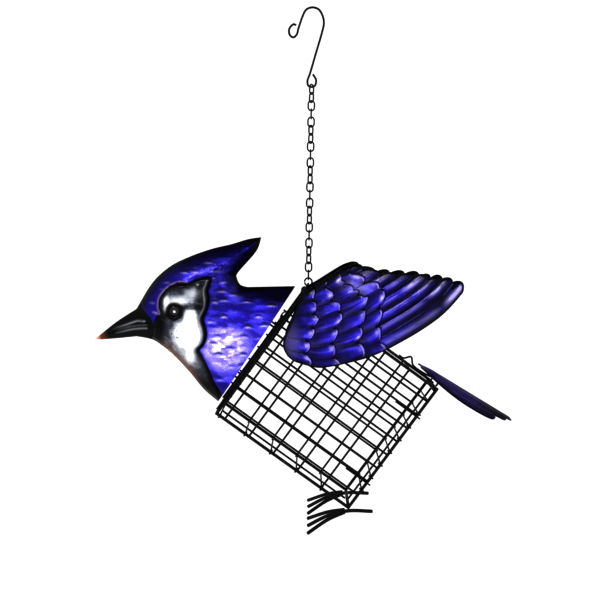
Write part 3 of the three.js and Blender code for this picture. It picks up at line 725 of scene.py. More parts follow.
def end_grid(name, x, outward, top):
    """An upright grid of rungs between two heavy wires, held by one rail on its outer side."""
    rail = x + outward * RUNG_CROSSING
    parts = [rung(x, top, FRAME_WIRE), rung(x, -CAGE_HEIGHT, FRAME_WIRE)]
    parts.append(rod((rail, 0, top), (rail, 0, -CAGE_HEIGHT), MESH_WIRE, 14))
    parts += [rung(x, -row, RUNG_WIRE) for row in RIGHT_ROWS]
    lacing = x + outward * (FRAME_WIRE + LACING_WIRE) / 2
    for side, _ in SIDES:
        y = side * CAGE_DEPTH / 2
        if outward < 0:
            parts.append(rod((lacing, y, -LACING_ENDS[0]), (lacing, y, -LACING_ENDS[1]), LACING_WIRE, 14))
        for row in RIGHT_ROWS[1:]:
            turn = arc((x, y, -row), WRAP_RADIUS, *WRAP_TURN, 16, (-outward, 0, 0), (0, side, 0))
            lead = [(x + outward * WRAP_LEAD[0], side * (HALF_SPAN - WRAP_LEAD[1]), -row)]
            parts.append(bent(np.vstack([lead, turn]), WRAP_WIRE, 10))
            if outward < 0:
                tip = (x - WRAP_RADIUS - PRONG, y - side * PRONG_LEAN, -row)
                parts.append(rod(turn[-1], tip, WRAP_WIRE, 10))
    wire_piece(name, parts, "bird", CAGE)


end_grid("neck_grid", 0, -1, 0)
end_grid("tail_side_grid", CAGE_LENGTH, 1, LID_LEDGE)


def floor_grid():
    """Rungs across the floor with curled ends, on one lengthwise rail below them."""
    z = -CAGE_HEIGHT
    rail = z - RUNG_CROSSING
    end = CAGE_LENGTH - FRAME_WIRE / 2 - GAP
    parts = [rod((RIGHT_COLUMNS[0], 0, rail), (end, 0, rail), MESH_WIRE, 14)]
    for column in RIGHT_COLUMNS:
        parts.append(rung(column, z, RUNG_WIRE))
        for side, _ in SIDES:
            centre = (column, side * CAGE_DEPTH / 2, z)
            curl = arc(centre, WRAP_RADIUS, *CURL_TURN, 16, (0, 0, 1), (0, side, 0))
            parts.append(bent(curl, WRAP_WIRE, 10))
    wire_piece("floor_grid", parts, "bird", CAGE)


floor_grid()


def neck_loop():
    """A small bail on the left neck wire."""
    foot = -(FRAME_WIRE / 2 + GAP)
    points = [
        (foot, 0, NECK_LOOP_LENGTH / 2), (-NECK_LOOP_REACH, 0, NECK_LOOP_LENGTH / 3),
        (-NECK_LOOP_REACH, 0, -NECK_LOOP_LENGTH / 3), (foot, 0, -NECK_LOOP_LENGTH / 2),
    ]
    place = CAGE @ Matrix.Translation((0, -CAGE_DEPTH / 2, -NECK_LOOP_DROP))
    wire_piece("neck_loop", [bent(smooth_line(points, 8), LINK_WIRE, 12)], "bird", place)


neck_loop()


def head_staple(name, row):
    """A staple that stands on the neck grid and reaches into the head's open neck."""
    half = HEAD_RISE + GAP / 2 - STAPLE_CLEARANCE - EYE_WIRE / 2
    foot = -(RUNG_WIRE / 2 + GAP)
    points = [
        (foot, -half, 0), (-STAPLE_REACH / 2, -half, 0), (-STAPLE_REACH, -half / 2, 0),
        (-STAPLE_REACH, half / 2, 0), (-STAPLE_REACH / 2, half, 0), (foot, half, 0),
    ]
    place = CAGE @ Matrix.Translation((0, 0, -RIGHT_ROWS[row]))
    wire_piece(name, [bent(smooth_line(points, 8), EYE_WIRE, 14)], "bird", place)


head_staple("head_staple_upper", 2)
head_staple("head_staple_lower", 6)


def lid_grid():
    """Rungs on three lengthwise wires, two of them curled round the neck's top wire as hinges."""
    reach = CAGE_DEPTH / 2 - FRAME_WIRE / 2 - LID_CLEARANCE
    radius = FRAME_WIRE / 2 + GAP + MESH_WIRE / 2
    parts = [rod((LID_RUNGS[0], 0, CROSSING), (CAGE_LENGTH, 0, CROSSING), MESH_WIRE, 14)]
    for y in (-KNUCKLE_OFFSET, KNUCKLE_OFFSET):
        curl = arc((0, y, 0), radius, *KNUCKLE_TURN, 24)
        run = smooth_line([*((x, y, z) for x, z in KNUCKLE_RUN), curl[0], curl[2]], 5)[:-6]
        parts.append(bent(np.vstack([[(CAGE_LENGTH, y, 0)], run, curl]), MESH_WIRE, 14))
    parts += [rod((x, -reach, 0), (x, reach, 0), MESH_WIRE, 14) for x in LID_RUNGS]
    wire_piece("lid_grid", parts, "lid", CAGE)


lid_grid()


def tail_underside(x, y):
    """Height of the tail's underside above the lid's wires."""
    return TAIL_ABOVE_LID + TAIL_CLIMB * (x / TAIL_LENGTH) - TAIL_ARCH * (y / (TAIL_WIDTH / 2)) ** 2


def lift_wire():
    """A pointed finger loop on the lid, which runs back under the tail."""
    on_lid = CROSSING + MESH_WIRE / 2 + 2 * GAP + LIFT_WIRE / 2
    below_tail = [tail_underside(x - TAIL_START, 0) - GAP - LIFT_WIRE / 2 for x in (CAGE_LENGTH, LIFT_END)]
    points = [
        (LIFT_START, 0, on_lid), ((LIFT_START + LIFT_PEAK) / 2, 0, on_lid + GAP),
        (LIFT_PEAK, 0, on_lid + LIFT_HEIGHT), (LIFT_FOOT, 0, on_lid + GAP),
        ((LIFT_FOOT + CAGE_LENGTH) / 2, 0, on_lid), (CAGE_LENGTH, 0, (on_lid + below_tail[0]) / 2),
        (LIFT_END, 0, below_tail[1]),
    ]
    wire_piece("lift_wire", [bent(smooth_line(points, 10), LIFT_WIRE, 14)], "lid", CAGE)


lift_wire()
for side, side_name in SIDES:
    y = side * TAIL_POST_OFFSET
    top = tail_underside(CAGE_LENGTH - TAIL_START, y) - 2 * GAP
    post = rod((CAGE_LENGTH, y, MESH_WIRE / 2 + GAP), (CAGE_LENGTH, y, top), LIFT_WIRE, 14)
    wire_piece(f"tail_post_{side_name}", [post], "lid", CAGE)


def foot(side, side_name):
    """Three thick toes; the middle one runs back as the hind toe."""
    corner = Matrix.Rotation(BODY_TILT, 3, "Y") @ Vector((CAGE_LENGTH, 0, -CAGE_BELOW_RING - CAGE_HEIGHT))
    drop = FRAME_WIRE / 2 + GAP + TOE_WIRE / 2
    place = BIRD @ Matrix.Translation((corner.x, side * CAGE_DEPTH / 2, corner.z - drop))
    toes = {"middle": [
        (HIND_TOE_LENGTH, 0, 0), (0, 0, 0), (-TOE_LENGTH / 2, 0, -TOE_DROP / 3), (-TOE_LENGTH, 0, -TOE_DROP),
    ]}
    for way, _ in SIDES:
        start = way * (TOE_WIRE + GAP)
        toes["outer" if way == side else "inner"] = [
            (-TOE_WIRE, start, 0), (-TOE_LENGTH / 2, start + way * TOE_SPLAY / 3, -TOE_DROP / 3),
            (-TOE_LENGTH, way * TOE_SPLAY, -TOE_DROP),
        ]
    for toe, points in toes.items():
        part = tube(smooth_line(points), TOE_WIRE / 2, 20)
        wire_piece(f"foot_{side_name}_{toe}_toe", [part], "bird", place)


for side, side_name in SIDES:
    foot(side, side_name)


# Head outline, as shares of its length from the beak's tip and of its height from there to the crest
NECK_BOTTOM_SHARE = (1, 0.112)
THROAT_SHARES = [
    (0.864, 0.121), (0.707, 0.153), (0.538, 0.179), (0.424, 0.185), (0.338, 0.18), (0.233, 0.143),
]
UNDER_BEAK_SHARES = [(0.119, 0.066), (0.028, 0.008), (0, 0)]
OVER_BEAK_SHARES = [(0.051, 0.14), (0.117, 0.269)]
CROWN_SHARES = [
    (0.101, 0.437), (0.134, 0.565), (0.205, 0.672), (0.304, 0.782),
    (0.404, 0.871), (0.483, 0.949), (0.551, 1),
]
CREST_SHARES = [(0.581, 0.921), (0.564, 0.768), (0.579, 0.738), (0.629, 0.718), (0.681, 0.73)]
NECK_TOP_SHARE = (0.961, 0.891)

# Lines on the head, level with the ground, from the ring's lowest point
PATCH_LINE = [
    (-126.7, -24.8), (-127.9, -18.9), (-127.3, -12.3), (-124.7, -8.1), (-121.1, -4.1), (-116.2, -0.9),
    (-110.3, 1.1), (-103.0, 1.1), (-98.8, 3.4), (-93.2, 5.7), (-86.6, 6.8), (-83.0, 5.7), (-84.3, 0.8),
    (-86.0, -5.1), (-85.0, -11.7), (-85.7, -17.6), (-87.3, -22.8), (-89.3, -28.1), (-89.3, -32.0),
    (-87.6, -37.9), (-87.0, -43.7), (-88.3, -49.5), (-90.2, -53.1), (-93.3, -56.6), (-90.6, -61.9),
    (-87.6, -67.9), (-85.0, -73.8), (-82.7, -79.7), (-79.4, -86.9), (-74.8, -96.1), (-78, -104),
    (-90, -96), (-100, -86), (-110, -76), (-120, -66), (-130, -58), (-138, -52), (-134.5, -42),
    (-132, -34), (-130, -29),
]
RIDGE_LINE = [
    (-133.0, -24.2), (-127.6, -25.6), (-128.9, -18.9), (-128.3, -12.0), (-125.6, -7.4),
    (-121.8, -3.2), (-116.6, 0.2), (-110.4, 2.2), (-103.4, 2.2),
]
SEAM_LINE = [
    (-86.3, 4.0), (-87.2, 0.6), (-88.9, -2.9), (-89.3, -7.0), (-88.6, -12.5), (-88.4, -17.8),
    (-90.2, -22.5), (-92.7, -27.0), (-93.3, -32.0), (-91.6, -37.6), (-90.2, -43.0), (-91.6, -49.5),
]
BEAK_BASE = [
    (-146, -12), (-144.7, -18.6), (-142.0, -22.6), (-138.1, -26.5), (-134.2, -30.5), (-133, -36),
    (-134, -42), (-138, -54),
]
BEAK_CORNERS = [(-190, -54), (-190, -12)]
BEAK_STRIPES = [
    [(-140.9, -32.4), (-146.8, -32.3), (-156.8, -35.8), (-163.4, -38.1), (-170.1, -40.8)],
    [(-139.0, -35.8), (-146.8, -36.4), (-156.8, -38.4), (-164.7, -40.7)],
    [(-139.3, -38.7), (-145.5, -39.1), (-152.2, -40.0), (-158.2, -41.4), (-166.7, -43.8)],
]
STRIPE_SHARES = (1.0, 0.35, 0.85)
STROKE_WIDTH = 0.75
LINE_WIDTH = 0.9

# Spots on the head, level with the ground: strength, centre, size and softness of the edge
SWELLS = [(1.5, (-105, -42), (9, 9), 0.9), (1, (-111, -13), (10, 4), 0.9), (-0.9, (-99, -20), (9, 2.5), 0.8)]
# Painted highlight: a bright lavender spot at the base of the crest.
CROWN_SHEEN = [(0.75, (-61, -6), (5, 7), 0.8)]
HEAD_SPOTS = {
    # Painted reflection: a lavender sheen on the lower neck, with pinkish-white painted highlights in it.
    "sheen": [(1, (-71, -54), (22, 20), 0.4)],
    "highlight_bloom": [(0.85, (-71, -53), (14, 14), 0.6)],
    # Painted highlights: bright specks on the crown near the crest.
    "glint_flecks": [(1, (-76, 12), (11, 9), 0.7), (0.8, (-95, 9), (14, 4), 0.8)],
    "dusk": [(1, (-24, -7), (14, 8), 0.7), (0.4, (-92, 16), (26, 9), 0.9), (0.5, (-80, -12), (6, 14), 0.9)],
    "cheek": [
        (1.1, (-103, -42), (11, 11), 0.65), (0.9, (-100.5, -29), (5, 9), 0.5), (0.4, (-99, -7), (8, 5), 0.8),
        (0.58, (-112, -14.2), (10, 3.6), 0.8), (0.62, (-121.3, -17), (2.4, 6), 0.7),
        (0.45, (-101.5, -62), (4, 6), 0.9), (0.3, (-104, -60), (18, 14), 0.6),
    ],
    "specks": [(1, (-113, -42), (5, 5), 0.6)],
    # Painted shade: the dark groove right of the eye, the patch's top under its outline, a dark area at its
    # rear and a shadow below the eye.
    "black_marks_and_shade": [
        (0.8, (-99, -19.5), (10, 1.8), 0.8), (0.85, (-109, 0.5), (17, 5), 0.7),
        (0.8, (-91.5, -11), (4.5, 11), 0.7), (0.7, (-113.5, -29), (6, 3), 0.6),
    ],
    # Painted highlight: a small light dot at the patch's spike.
    "glow": [(0.5, (-94.5, 0.4), (1.2, 1.0), 0.6)],
}
CHEEK_TONE = 0.06

TILT_COS, TILT_SIN = math.cos(BODY_TILT), math.sin(BODY_TILT)
LEVEL_TO_BODY = np.array([[TILT_COS, TILT_SIN], [-TILT_SIN, TILT_COS]])
DISTANCES = ("edge", "patch", "beak", "tip")
DIMPLE_SEED = 3
DIMPLE_TABLE = 80
DIMPLE_PITCH = (17, 9.2)
DIMPLE_SIZE = (4.2, 1.15)
DIMPLE_DEPTH = 0.42


def head_place(shares):
    """Shares of the head as points in the bird's frame."""
    low = (-HEAD_AHEAD_OF_RING - HEAD_LENGTH, -BEAK_BELOW_RING)
    return low + np.array(shares) * (HEAD_LENGTH, HEAD_HEIGHT)


def head_edge():
    """The head's open outline, from the neck's lower corner round beak and crest to its upper corner."""
    start, line = NECK_BOTTOM_SHARE, []
    for run in (THROAT_SHARES, UNDER_BEAK_SHARES, OVER_BEAK_SHARES, CROWN_SHARES, CREST_SHARES):
        line.append(flat_spline(head_place([start, *run])))
        start = run[-1]
    return np.vstack([*line, head_place([start, NECK_TOP_SHARE])])


def on_head(line):
    """A smooth line through points that are level with the ground, in the bird's frame."""
    return smooth_line(line, 6) @ LEVEL_TO_BODY


def filled(loop, size, lines):
    """An even triangle mesh inside a closed loop, with points right on some lines across it."""
    closed = np.vstack([loop, loop[:1]])
    border = evenly(closed, int(travelled(closed)[-1] / size) + 1)[:-1]
    low, high = border.min(0), border.max(0)
    rows = []
    for j, y in enumerate(np.arange(low[1], high[1], size * math.sqrt(3) / 2)):
        x = np.arange(low[0] + (j % 2) * size / 2, high[0], size)
        rows.append(np.column_stack([x, np.full(len(x), y)]))
    apart = 0.6 * size
    inner = np.vstack(rows)
    inner = inner[inside_by(inner, border) > apart]
    for line in lines:
        drawn = evenly(line, int(travelled(line)[-1] / (0.7 * size)) + 2)
        drawn = drawn[inside_by(drawn, border) > apart]
        nearest = np.linalg.norm(inner[:, None] - drawn[None], axis=2).min(axis=1)
        inner = np.vstack([inner[nearest > apart], drawn])
    points = np.vstack([border, inner])
    count = len(border)
    edges = [(i, (i + 1) % count) for i in range(count)]
    made = delaunay_2d_cdt([Vector(p) for p in points], edges, [], 1, size * 1e-4)
    return np.array([tuple(p) for p in made[0]]), [tuple(face) for face in made[2]]


def spots(x, z, table):
    """The sum of soft oval spots. A spot's edge is softened over a share of its size."""
    total = np.zeros(len(x))
    for strength, centre, size, edge in table:
        away = np.hypot((x - centre[0]) / size[0], (z - centre[1]) / size[1])
        total += strength * ease(away, 1 + edge, 1 - edge)
    return total


def small_feathers(x, z):
    """Rows of small crescent dimples, each with a painted highlight on the lip below it: their height, the
    painted highlight and the painted shade in their cups.
    """
    random = np.random.default_rng(DIMPLE_SEED)
    shifts = random.uniform(-0.3, 0.3, (DIMPLE_TABLE, DIMPLE_TABLE, 2))
    strengths = random.uniform(0.0, 1.0, (DIMPLE_TABLE, DIMPLE_TABLE))
    widths = random.uniform(0.75, 1.25, (DIMPLE_TABLE, DIMPLE_TABLE))
    height, lip_highlight, crease_shade = np.zeros((3, len(x)))
    row = np.floor(z / DIMPLE_PITCH[1]).astype(int)
    for step in (-1, 0, 1):
        j = row + step
        stagger = 0.5 * (j % 2)
        i = np.floor(x / DIMPLE_PITCH[0] - stagger + 0.5).astype(int)
        cell = (j % DIMPLE_TABLE, i % DIMPLE_TABLE)
        dx = x - (i + stagger + shifts[cell][:, 0]) * DIMPLE_PITCH[0]
        dz = z - (j + 0.5 + shifts[cell][:, 1]) * DIMPLE_PITCH[1]
        u = dx / (DIMPLE_SIZE[0] * widths[cell])
        v = (dz + 0.5 * u * u) / DIMPLE_SIZE[1]
        cup = strengths[cell] * np.exp(-u * u - v * v)
        lip = strengths[cell] * np.exp(-u * u / 0.7 - ((v + 1.7) / 0.8) ** 2)
        height += lip - cup
        lip_highlight = np.maximum(lip_highlight, lip)
        crease_shade = np.maximum(crease_shade, cup)
    return height, lip_highlight, crease_shade


def ink(points, line, width):
    """How near points are to a line: 1 on it, falling to 0 in about its width."""
    return np.exp(-(nearness(points, line) / width) ** 2)


def head_shell(side, side_name):
    """One half of the head: a pressed sheet, with its paint, painted highlights and painted shade as fields
    of its points.
    """
    patch_loop = on_head([*PATCH_LINE, PATCH_LINE[0]])[:-1]
    ridge_line, seam_line, base_line = on_head(RIDGE_LINE), on_head(SEAM_LINE), on_head(BEAK_BASE)
    stripes = [on_head(line) for line in BEAK_STRIPES]
    edge_line = head_edge()
    points, faces = filled(edge_line, HEAD_MESH, [patch_loop, seam_line, base_line, *stripes])
    x, z = (points @ LEVEL_TO_BODY.T).T
    edge = nearness(points, edge_line)
    patch = inside_by(points, patch_loop)
    beak = inside_by(points, np.vstack([base_line, np.array(BEAK_CORNERS) @ LEVEL_TO_BODY]))
    eye = np.hypot(x - EYE_CENTRE[0], z - EYE_CENTRE[1])
    ridge, seam = ink(points, ridge_line, LINE_WIDTH), ink(points, seam_line, LINE_WIDTH)
    strokes = [share * ink(points, line, STROKE_WIDTH) for share, line in zip(STRIPE_SHARES, stripes)]
    # The beak's raised ridges, whose painted highlights fade towards the tip.
    stripe = ease(x, -174, -152) * np.max(strokes, axis=0)

    feathers, lip_highlight, crease_shade = small_feathers(x, z)
    calm = ease(-patch, 1, 5) * ease(-beak, 2, 10) * ease(edge, 4, 12)
    relief = DIMPLE_DEPTH * feathers * calm + spots(x, z, SWELLS)
    relief += 0.8 * ease(patch, 0, 3) - 1.3 * np.exp(-(patch / 1.2) ** 2) + 0.8 * seam + 0.7 * ridge
    relief += 0.9 * np.exp(-((eye - EYE_RING) / 1.4) ** 2) - 0.8 * ease(-eye, -4.5, -3.0)
    relief += 0.8 * ease(-beak, -1.0, 1.5) + 0.9 * stripe
    relief *= ease(edge, 0, 3.5)
    rise = bulge(edge, HEAD_RISE, HEAD_ROUNDING)
    relief = np.maximum(relief, -0.4 * rise)
    start = GAP / 2 + rise
    inner = flank(points, side, start + 0.8 * relief)
    outer = flank(points, side, start + HEAD_SHEET + relief)

    lores = ease(x - 0.25 * (z + 35), -118, -125.5) * ease(z, -22, -28)
    fields = {name: spots(x, z, table) for name, table in HEAD_SPOTS.items()}
    # The painted sheen ends sharply at its top, and the painted highlight at the crest's base is added to it.
    fields["sheen"] = fields["sheen"] * ease(z, -35.5, -38) + spots(x, z, CROWN_SHEEN)
    fields["cheek"] += CHEEK_TONE
    # The black surround of the eye and the black lores are the bird's markings; the patch also darkens
    # towards its bottom.
    fields["black_marks_and_shade"] += ease(eye, 8.6, 6.4) + lores + ease(z, -74, -88)
    fields |= {
        "edge": edge, "patch": patch, "beak": beak, "tip": np.hypot(*(points - head_place((0, 0))).T),
        # Painted highlights: the pale line along the seam and the pale lines along the beak's ridges.
        "ridge": 0.8 * ridge, "seam": 0.45 * seam * ease(edge, 2, 6), "stripe": 0.6 * stripe,
        # Painted highlights on the dimples' lips and painted shade in their cups.
        "lip_highlight": 0.95 * np.clip(1.3 * lip_highlight, 0, 1) * calm, "crease_shade": 0.95 * np.clip(1.3 * crease_shade, 0, 1) * calm,
        # Painted light: brighter blue on the lower front of the neck.
        "lit": ease(x, -118, -92) * ease(z, -96, -78) * ease(-x, 26, 42),
        "throat": 0.9 * ease(edge, 8.5, 1.5) * ease(z, -40, -50),
    }
    fields = {name: value if name in DISTANCES else np.clip(value, 0, 1) for name, value in fields.items()}
    name, faces = f"head_shell_{side_name}", facing(side, faces)
    sheet_piece(name, outer, inner, faces, head_finish, "bird", fields, BODY)


def dome(centre, radius, height, side, rings, sides):
    """A low round dome that bulges to one side, as an eye: its vertices and faces."""
    turns = np.linspace(0, 2 * math.pi, sides, endpoint=False)
    rows = []
    for angle in np.linspace(0, math.pi / 2, rings)[:-1]:
        reach = radius * math.cos(angle)
        out = np.full(sides, side * height * math.sin(angle))
        rows.append(centre + np.column_stack([reach * np.cos(turns), out, reach * np.sin(turns)]))
    last, top = (rings - 2) * sides, (rings - 1) * sides
    faces = ring_faces(rings - 1, sides)
    faces += [(last + k, last + (k + 1) % sides, top) for k in range(sides)]
    faces.append(tuple(reversed(range(sides))))
    return np.vstack([*rows, centre + (0, side * height, 0)]), facing(side, faces)


def head_eye(side, side_name):
    """A raised black ring with a glossy dome in it, on the head's side."""
    y = side * (GAP / 2 + HEAD_RISE + HEAD_SHEET)
    middle = np.array(EYE_CENTRE) @ LEVEL_TO_BODY
    centre = np.array((middle[0], y + side * 0.1, middle[1]))
    circle = arc(centre, EYE_RING, 0, 352, 48)
    eye = dome(centre, EYE_DOME_RADIUS, EYE_DOME_HEIGHT, side, 14, 48)
    parts = [tube(circle, EYE_RING_WIRE / 2, 14, closed=True), eye]
    across, out, up = np.vstack([part[0] for part in parts]).T
    # Painted reflection: a small white catchlight on the eye's dome.
    catchlight = spots(across, up, [(1, middle + EYE_CATCHLIGHT_PLACE, EYE_CATCHLIGHT_SIZE, 0.5)])
    catchlight *= ease(np.abs(out), abs(y) + 1.2, abs(y) + 1.6)
    piece(f"head_eye_{side_name}", parts, eye_finish, "bird", [], {"catchlight": catchlight}, BODY)


for side, side_name in SIDES:
    head_shell(side, side_name)
    head_eye(side, side_name)


# Wing edges, as shares of its length and height from the lower front corner of its box
ROOT_SHARES = [(0.196, 0.001), (0.127, 0.031), (0.086, 0.088), (0.063, 0.177), (0.026, 0.287), (0, 0.38)]
UNDERSIDE_SHARES = [
    (0.196, 0.001), (0.261, 0), (0.339, 0.019), (0.435, 0.051), (0.512, 0.103), (0.613, 0.192),
    (0.708, 0.286), (0.782, 0.383), (0.839, 0.476), (0.907, 0.599), (0.965, 0.732), (0.99, 0.837), (1, 0.949),
]
FRONT_SHARES = [
    (0, 0.38), (0.051, 0.47), (0.095, 0.557), (0.14, 0.642), (0.17, 0.682), (0.196, 0.707), (0.221, 0.719),
]
TIP_SHARES = [
    (0.951, 1), (0.838, 0.969), (0.762, 0.933), (0.664, 0.899),
    (0.56, 0.846), (0.457, 0.794), (0.354, 0.751), (0.246, 0.722),
]
VALLEY_SHARES = [
    (1, 0.949), (0.887, 0.967), (0.802, 0.925), (0.719, 0.892), (0.61, 0.845),
    (0.506, 0.792), (0.402, 0.74), (0.268, 0.709), (0.221, 0.719),
]
ROW_END_SHARES = [0.22, 0.43, 0.65, 0.81]
# Painted highlights: two broad lavender glows on the wing, level with the ground: strength, centre, size and
# softness of the edge.
WING_GLINTS = [(0.24, (-13, -46), (6, 13), 0.9), (0.26, (42, 3), (13, 6), 0.8)]
FEATHER_SEED = 5
TIP_ROUNDNESS = 0.75
TIP_OVERHANG = 5.5


def wing_place(shares):
    """Shares of the wing as points in the bird's frame."""
    return (-WING_AHEAD_OF_RING, -WING_BELOW_RING) + np.array(shares) * (WING_LENGTH, WING_HEIGHT)


def wing_line(shares):
    """One edge of the wing as a curve in the bird's frame."""
    points = wing_place(shares)
    return np.vstack([flat_spline(points), points[-1:]])


def feather_tips(shares):
    """The wing's scalloped rear edge: one rounded tip for each long feather."""
    valleys, peaks = wing_place(VALLEY_SHARES), wing_place(TIP_SHARES)
    lane = np.minimum((shares * len(peaks)).astype(int), len(peaks) - 1)
    phase = (shares * len(peaks) - lane)[:, None]
    a, b, peak = valleys[lane], valleys[lane + 1], peaks[lane]
    tip = np.sin(math.pi * phase).clip(0) ** TIP_ROUNDNESS * (peak - (a + b) / 2)
    return (1 - phase) * a + phase * b + tip


def wing_sheet():
    """Points of the wing in rows, the length of each point's row, and how far across and along it lies."""
    columns, rows = WING_STEPS
    s, t = np.linspace(0, 1, columns), np.linspace(0, 1, rows)
    root, tips = evenly(wing_line(ROOT_SHARES), rows), feather_tips(t)
    lower, front = evenly(wing_line(UNDERSIDE_SHARES), columns), evenly(wing_line(FRONT_SHARES), columns)
    S, T = (grid[..., None] for grid in np.meshgrid(s, t))
    points = (1 - T) * lower[None] + T * front[None] + (1 - S) * root[:, None] + S * tips[:, None]
    points -= (1 - S) * (1 - T) * root[0] + S * (1 - T) * tips[0] + (1 - S) * T * root[-1] + S * T * tips[-1]
    length = np.repeat(np.linalg.norm(tips - root, axis=1), columns)
    return points.reshape(-1, 2), length, np.repeat(t, columns), np.tile(s, rows)


def feather_relief(length, across, run):
    """Rows of short feathers near the root, then long feathers with ribs: their height, and paint that holds
    painted highlights and painted shade.
    """
    rows, longs = len(ROW_END_SHARES), len(TIP_SHARES)
    random = np.random.default_rng(FEATHER_SEED)
    vary = random.uniform(0.35, 1.0, (rows + 1, SHORT_FEATHERS + longs + 1))
    drift = random.uniform(-0.16, 0.16, vary.shape)
    travel = run * length
    to_tip = length - travel

    lane = np.minimum((across * longs).astype(int), longs - 1)
    phase = across * longs % 1
    off = np.abs(2 * phase - 1)
    height = LONG_FEATHER_CROWN * (1 - off**2) - 0.3 * np.exp(-((phase - 0.5) / 0.035) ** 2)
    # Painted highlights: a light streak near each long feather's tip, and a thin light crescent on its edge.
    streak = np.exp(-((phase - 0.52 - drift[-1, lane]) / 0.17) ** 2)
    glint = 1.6 * vary[-1, lane] * streak * ease(to_tip, 1.5, 4) * ease(to_tip, 26, 12)
    glint += 0.45 * vary[0, lane] * streak * ease(to_tip, 22, 34)
    rim = 0.8 * np.exp(-((off - 0.86) / 0.05) ** 2) * ease(to_tip, 14, 3) * (phase > 0.5)
    # Painted shade in the creases between long feathers and on their sides, and painted light on their
    # crowns.
    crease_shade, shade, lit = 0.7 * ease(off, 0.84, 0.98), ease(off, 0.25, 0.75), 0.5 * ease(off, 0.8, 0.2)

    span = np.minimum(length, FEATHER_ROWS_SPAN)
    for row in reversed(range(rows)):
        begin = span * (ROW_END_SHARES[row - 1] if row else 0)
        place = across * SHORT_FEATHERS + row / 2
        lane, phase = place.astype(int), place % 1
        off = np.abs(2 * phase - 1)
        round_tip = TIP_OVERHANG * (np.sqrt(1 - 0.97 * off**2) - 0.75) * span / FEATHER_ROWS_SPAN
        reach = span * ROW_END_SHARES[row] + round_tip
        left = reach - travel
        covered = left > 0
        filled = np.clip((travel - begin + 5) / (reach - begin + 5), 0, 1)
        top = 0.5 + 1.5 * filled**1.5 + 1.3 * (1 - off**2) * filled - 1.3 * ease(left, 1.8, 0.0)
        sides = 0.5 * ease(off, 0.86, 0.99) * ease(filled, 0.1, 0.6)
        # Painted shade in the seams and at the sides of short feathers; a painted lavender highlight inside
        # each tip and a thin light crescent at it.
        seam = np.maximum(0.68 * ease(np.abs(left), 0.6, 0.1), sides)
        blob = 1.15 * np.exp(-((left - 3.2) / 1.9) ** 2 - ((phase - 0.5 - drift[row, lane]) / 0.15) ** 2)
        slit = 1.5 * vary[row + 1, lane] * np.exp(-((left - 1.2) / 0.55) ** 2) * ease(off, 0.9, 0.5)
        height = np.where(covered, top, height)
        # Just beyond a short feather's tip lies a painted shadow.
        crease_shade = np.where(covered, seam, np.maximum(crease_shade, 0.8 * ease(-left, 1.4, 0.2)))
        shade = np.where(covered, np.maximum(ease(filled, 0.8, 0.25), ease(off, 0.25, 0.85)), shade)
        glint = np.where(covered, vary[row, lane] * blob, glint * ease(-left, 0, 3))
        rim = np.where(covered, slit, rim)
        lit = np.where(covered, ease(filled, 0.35, 0.85) * ease(off, 0.95, 0.3), lit)
    return height, {"crease_shade": crease_shade, "shade": shade, "glint": glint, "rim": rim, "lit": lit}


def wing(side, side_name):
    """One wing: a curved sheet with pressed feathers, with its paint, painted highlights and painted shade as
    fields of its points.
    """
    points, length, across, run = wing_sheet()
    columns, rows = WING_STEPS
    grid = points.reshape(rows, columns, 2)
    loop = np.vstack([grid[0], grid[:, -1], grid[-1, ::-1], grid[::-1, 0]])
    loop = loop[np.linalg.norm(np.diff(loop, axis=0, append=loop[:1]), axis=1) > 1e-6]
    edge = nearness(points, np.vstack([loop, loop[:1]])[::2])
    front = nearness(points, wing_line(FRONT_SHARES))
    rise = bulge(edge, WING_RISE, WING_ROUNDING)
    height, paint = feather_relief(length, across, run)
    relief = height * np.minimum(1, rise / (0.5 * WING_RISE))
    x, z = points.T
    inner = flank(points, side, WING_STANDOFF + rise + relief)
    outer = flank(points, side, WING_STANDOFF + rise + relief + WING_SHEET)
    paint["glint"] += spots(*(points @ LEVEL_TO_BODY.T).T, WING_GLINTS)
    paint["dusk"] = ease(x, 58, 100) * ease(z, 0, 30) + 0.7 * ease(edge, 8, 2.5) * ease(z - x, -45, -10)
    paint["dusk"] += ease(front, 6.5, 3.0)
    fields = {name: np.clip(value, 0, 1) for name, value in paint.items()}
    fields["edge"] = np.minimum(edge, front - WING_BLACK_EDGE)
    fields["travel"] = run * length * MM
    fields["across"] = across * WING_HEIGHT * MM
    faces = facing(side, grid_faces(rows, columns))
    sheet_piece(f"wing_{side_name}", outer, inner, faces, wing_finish, "bird", fields, BODY)


for side, side_name in SIDES:
    wing(side, side_name)


# Tail: half its width at places along it, and where each feather begins across it and ends, as shares
TAIL_SIDE_SHARES = [(0, 0.2), (0.17, 0.38), (0.42, 0.5), (0.7, 0.5), (0.82, 0.45), (1, 0.40)]
TAIL_FEATHERS = [(-1, 0.80), (-0.68, 0.92), (-0.3, 1), (0.3, 0.92), (0.68, 0.80)]


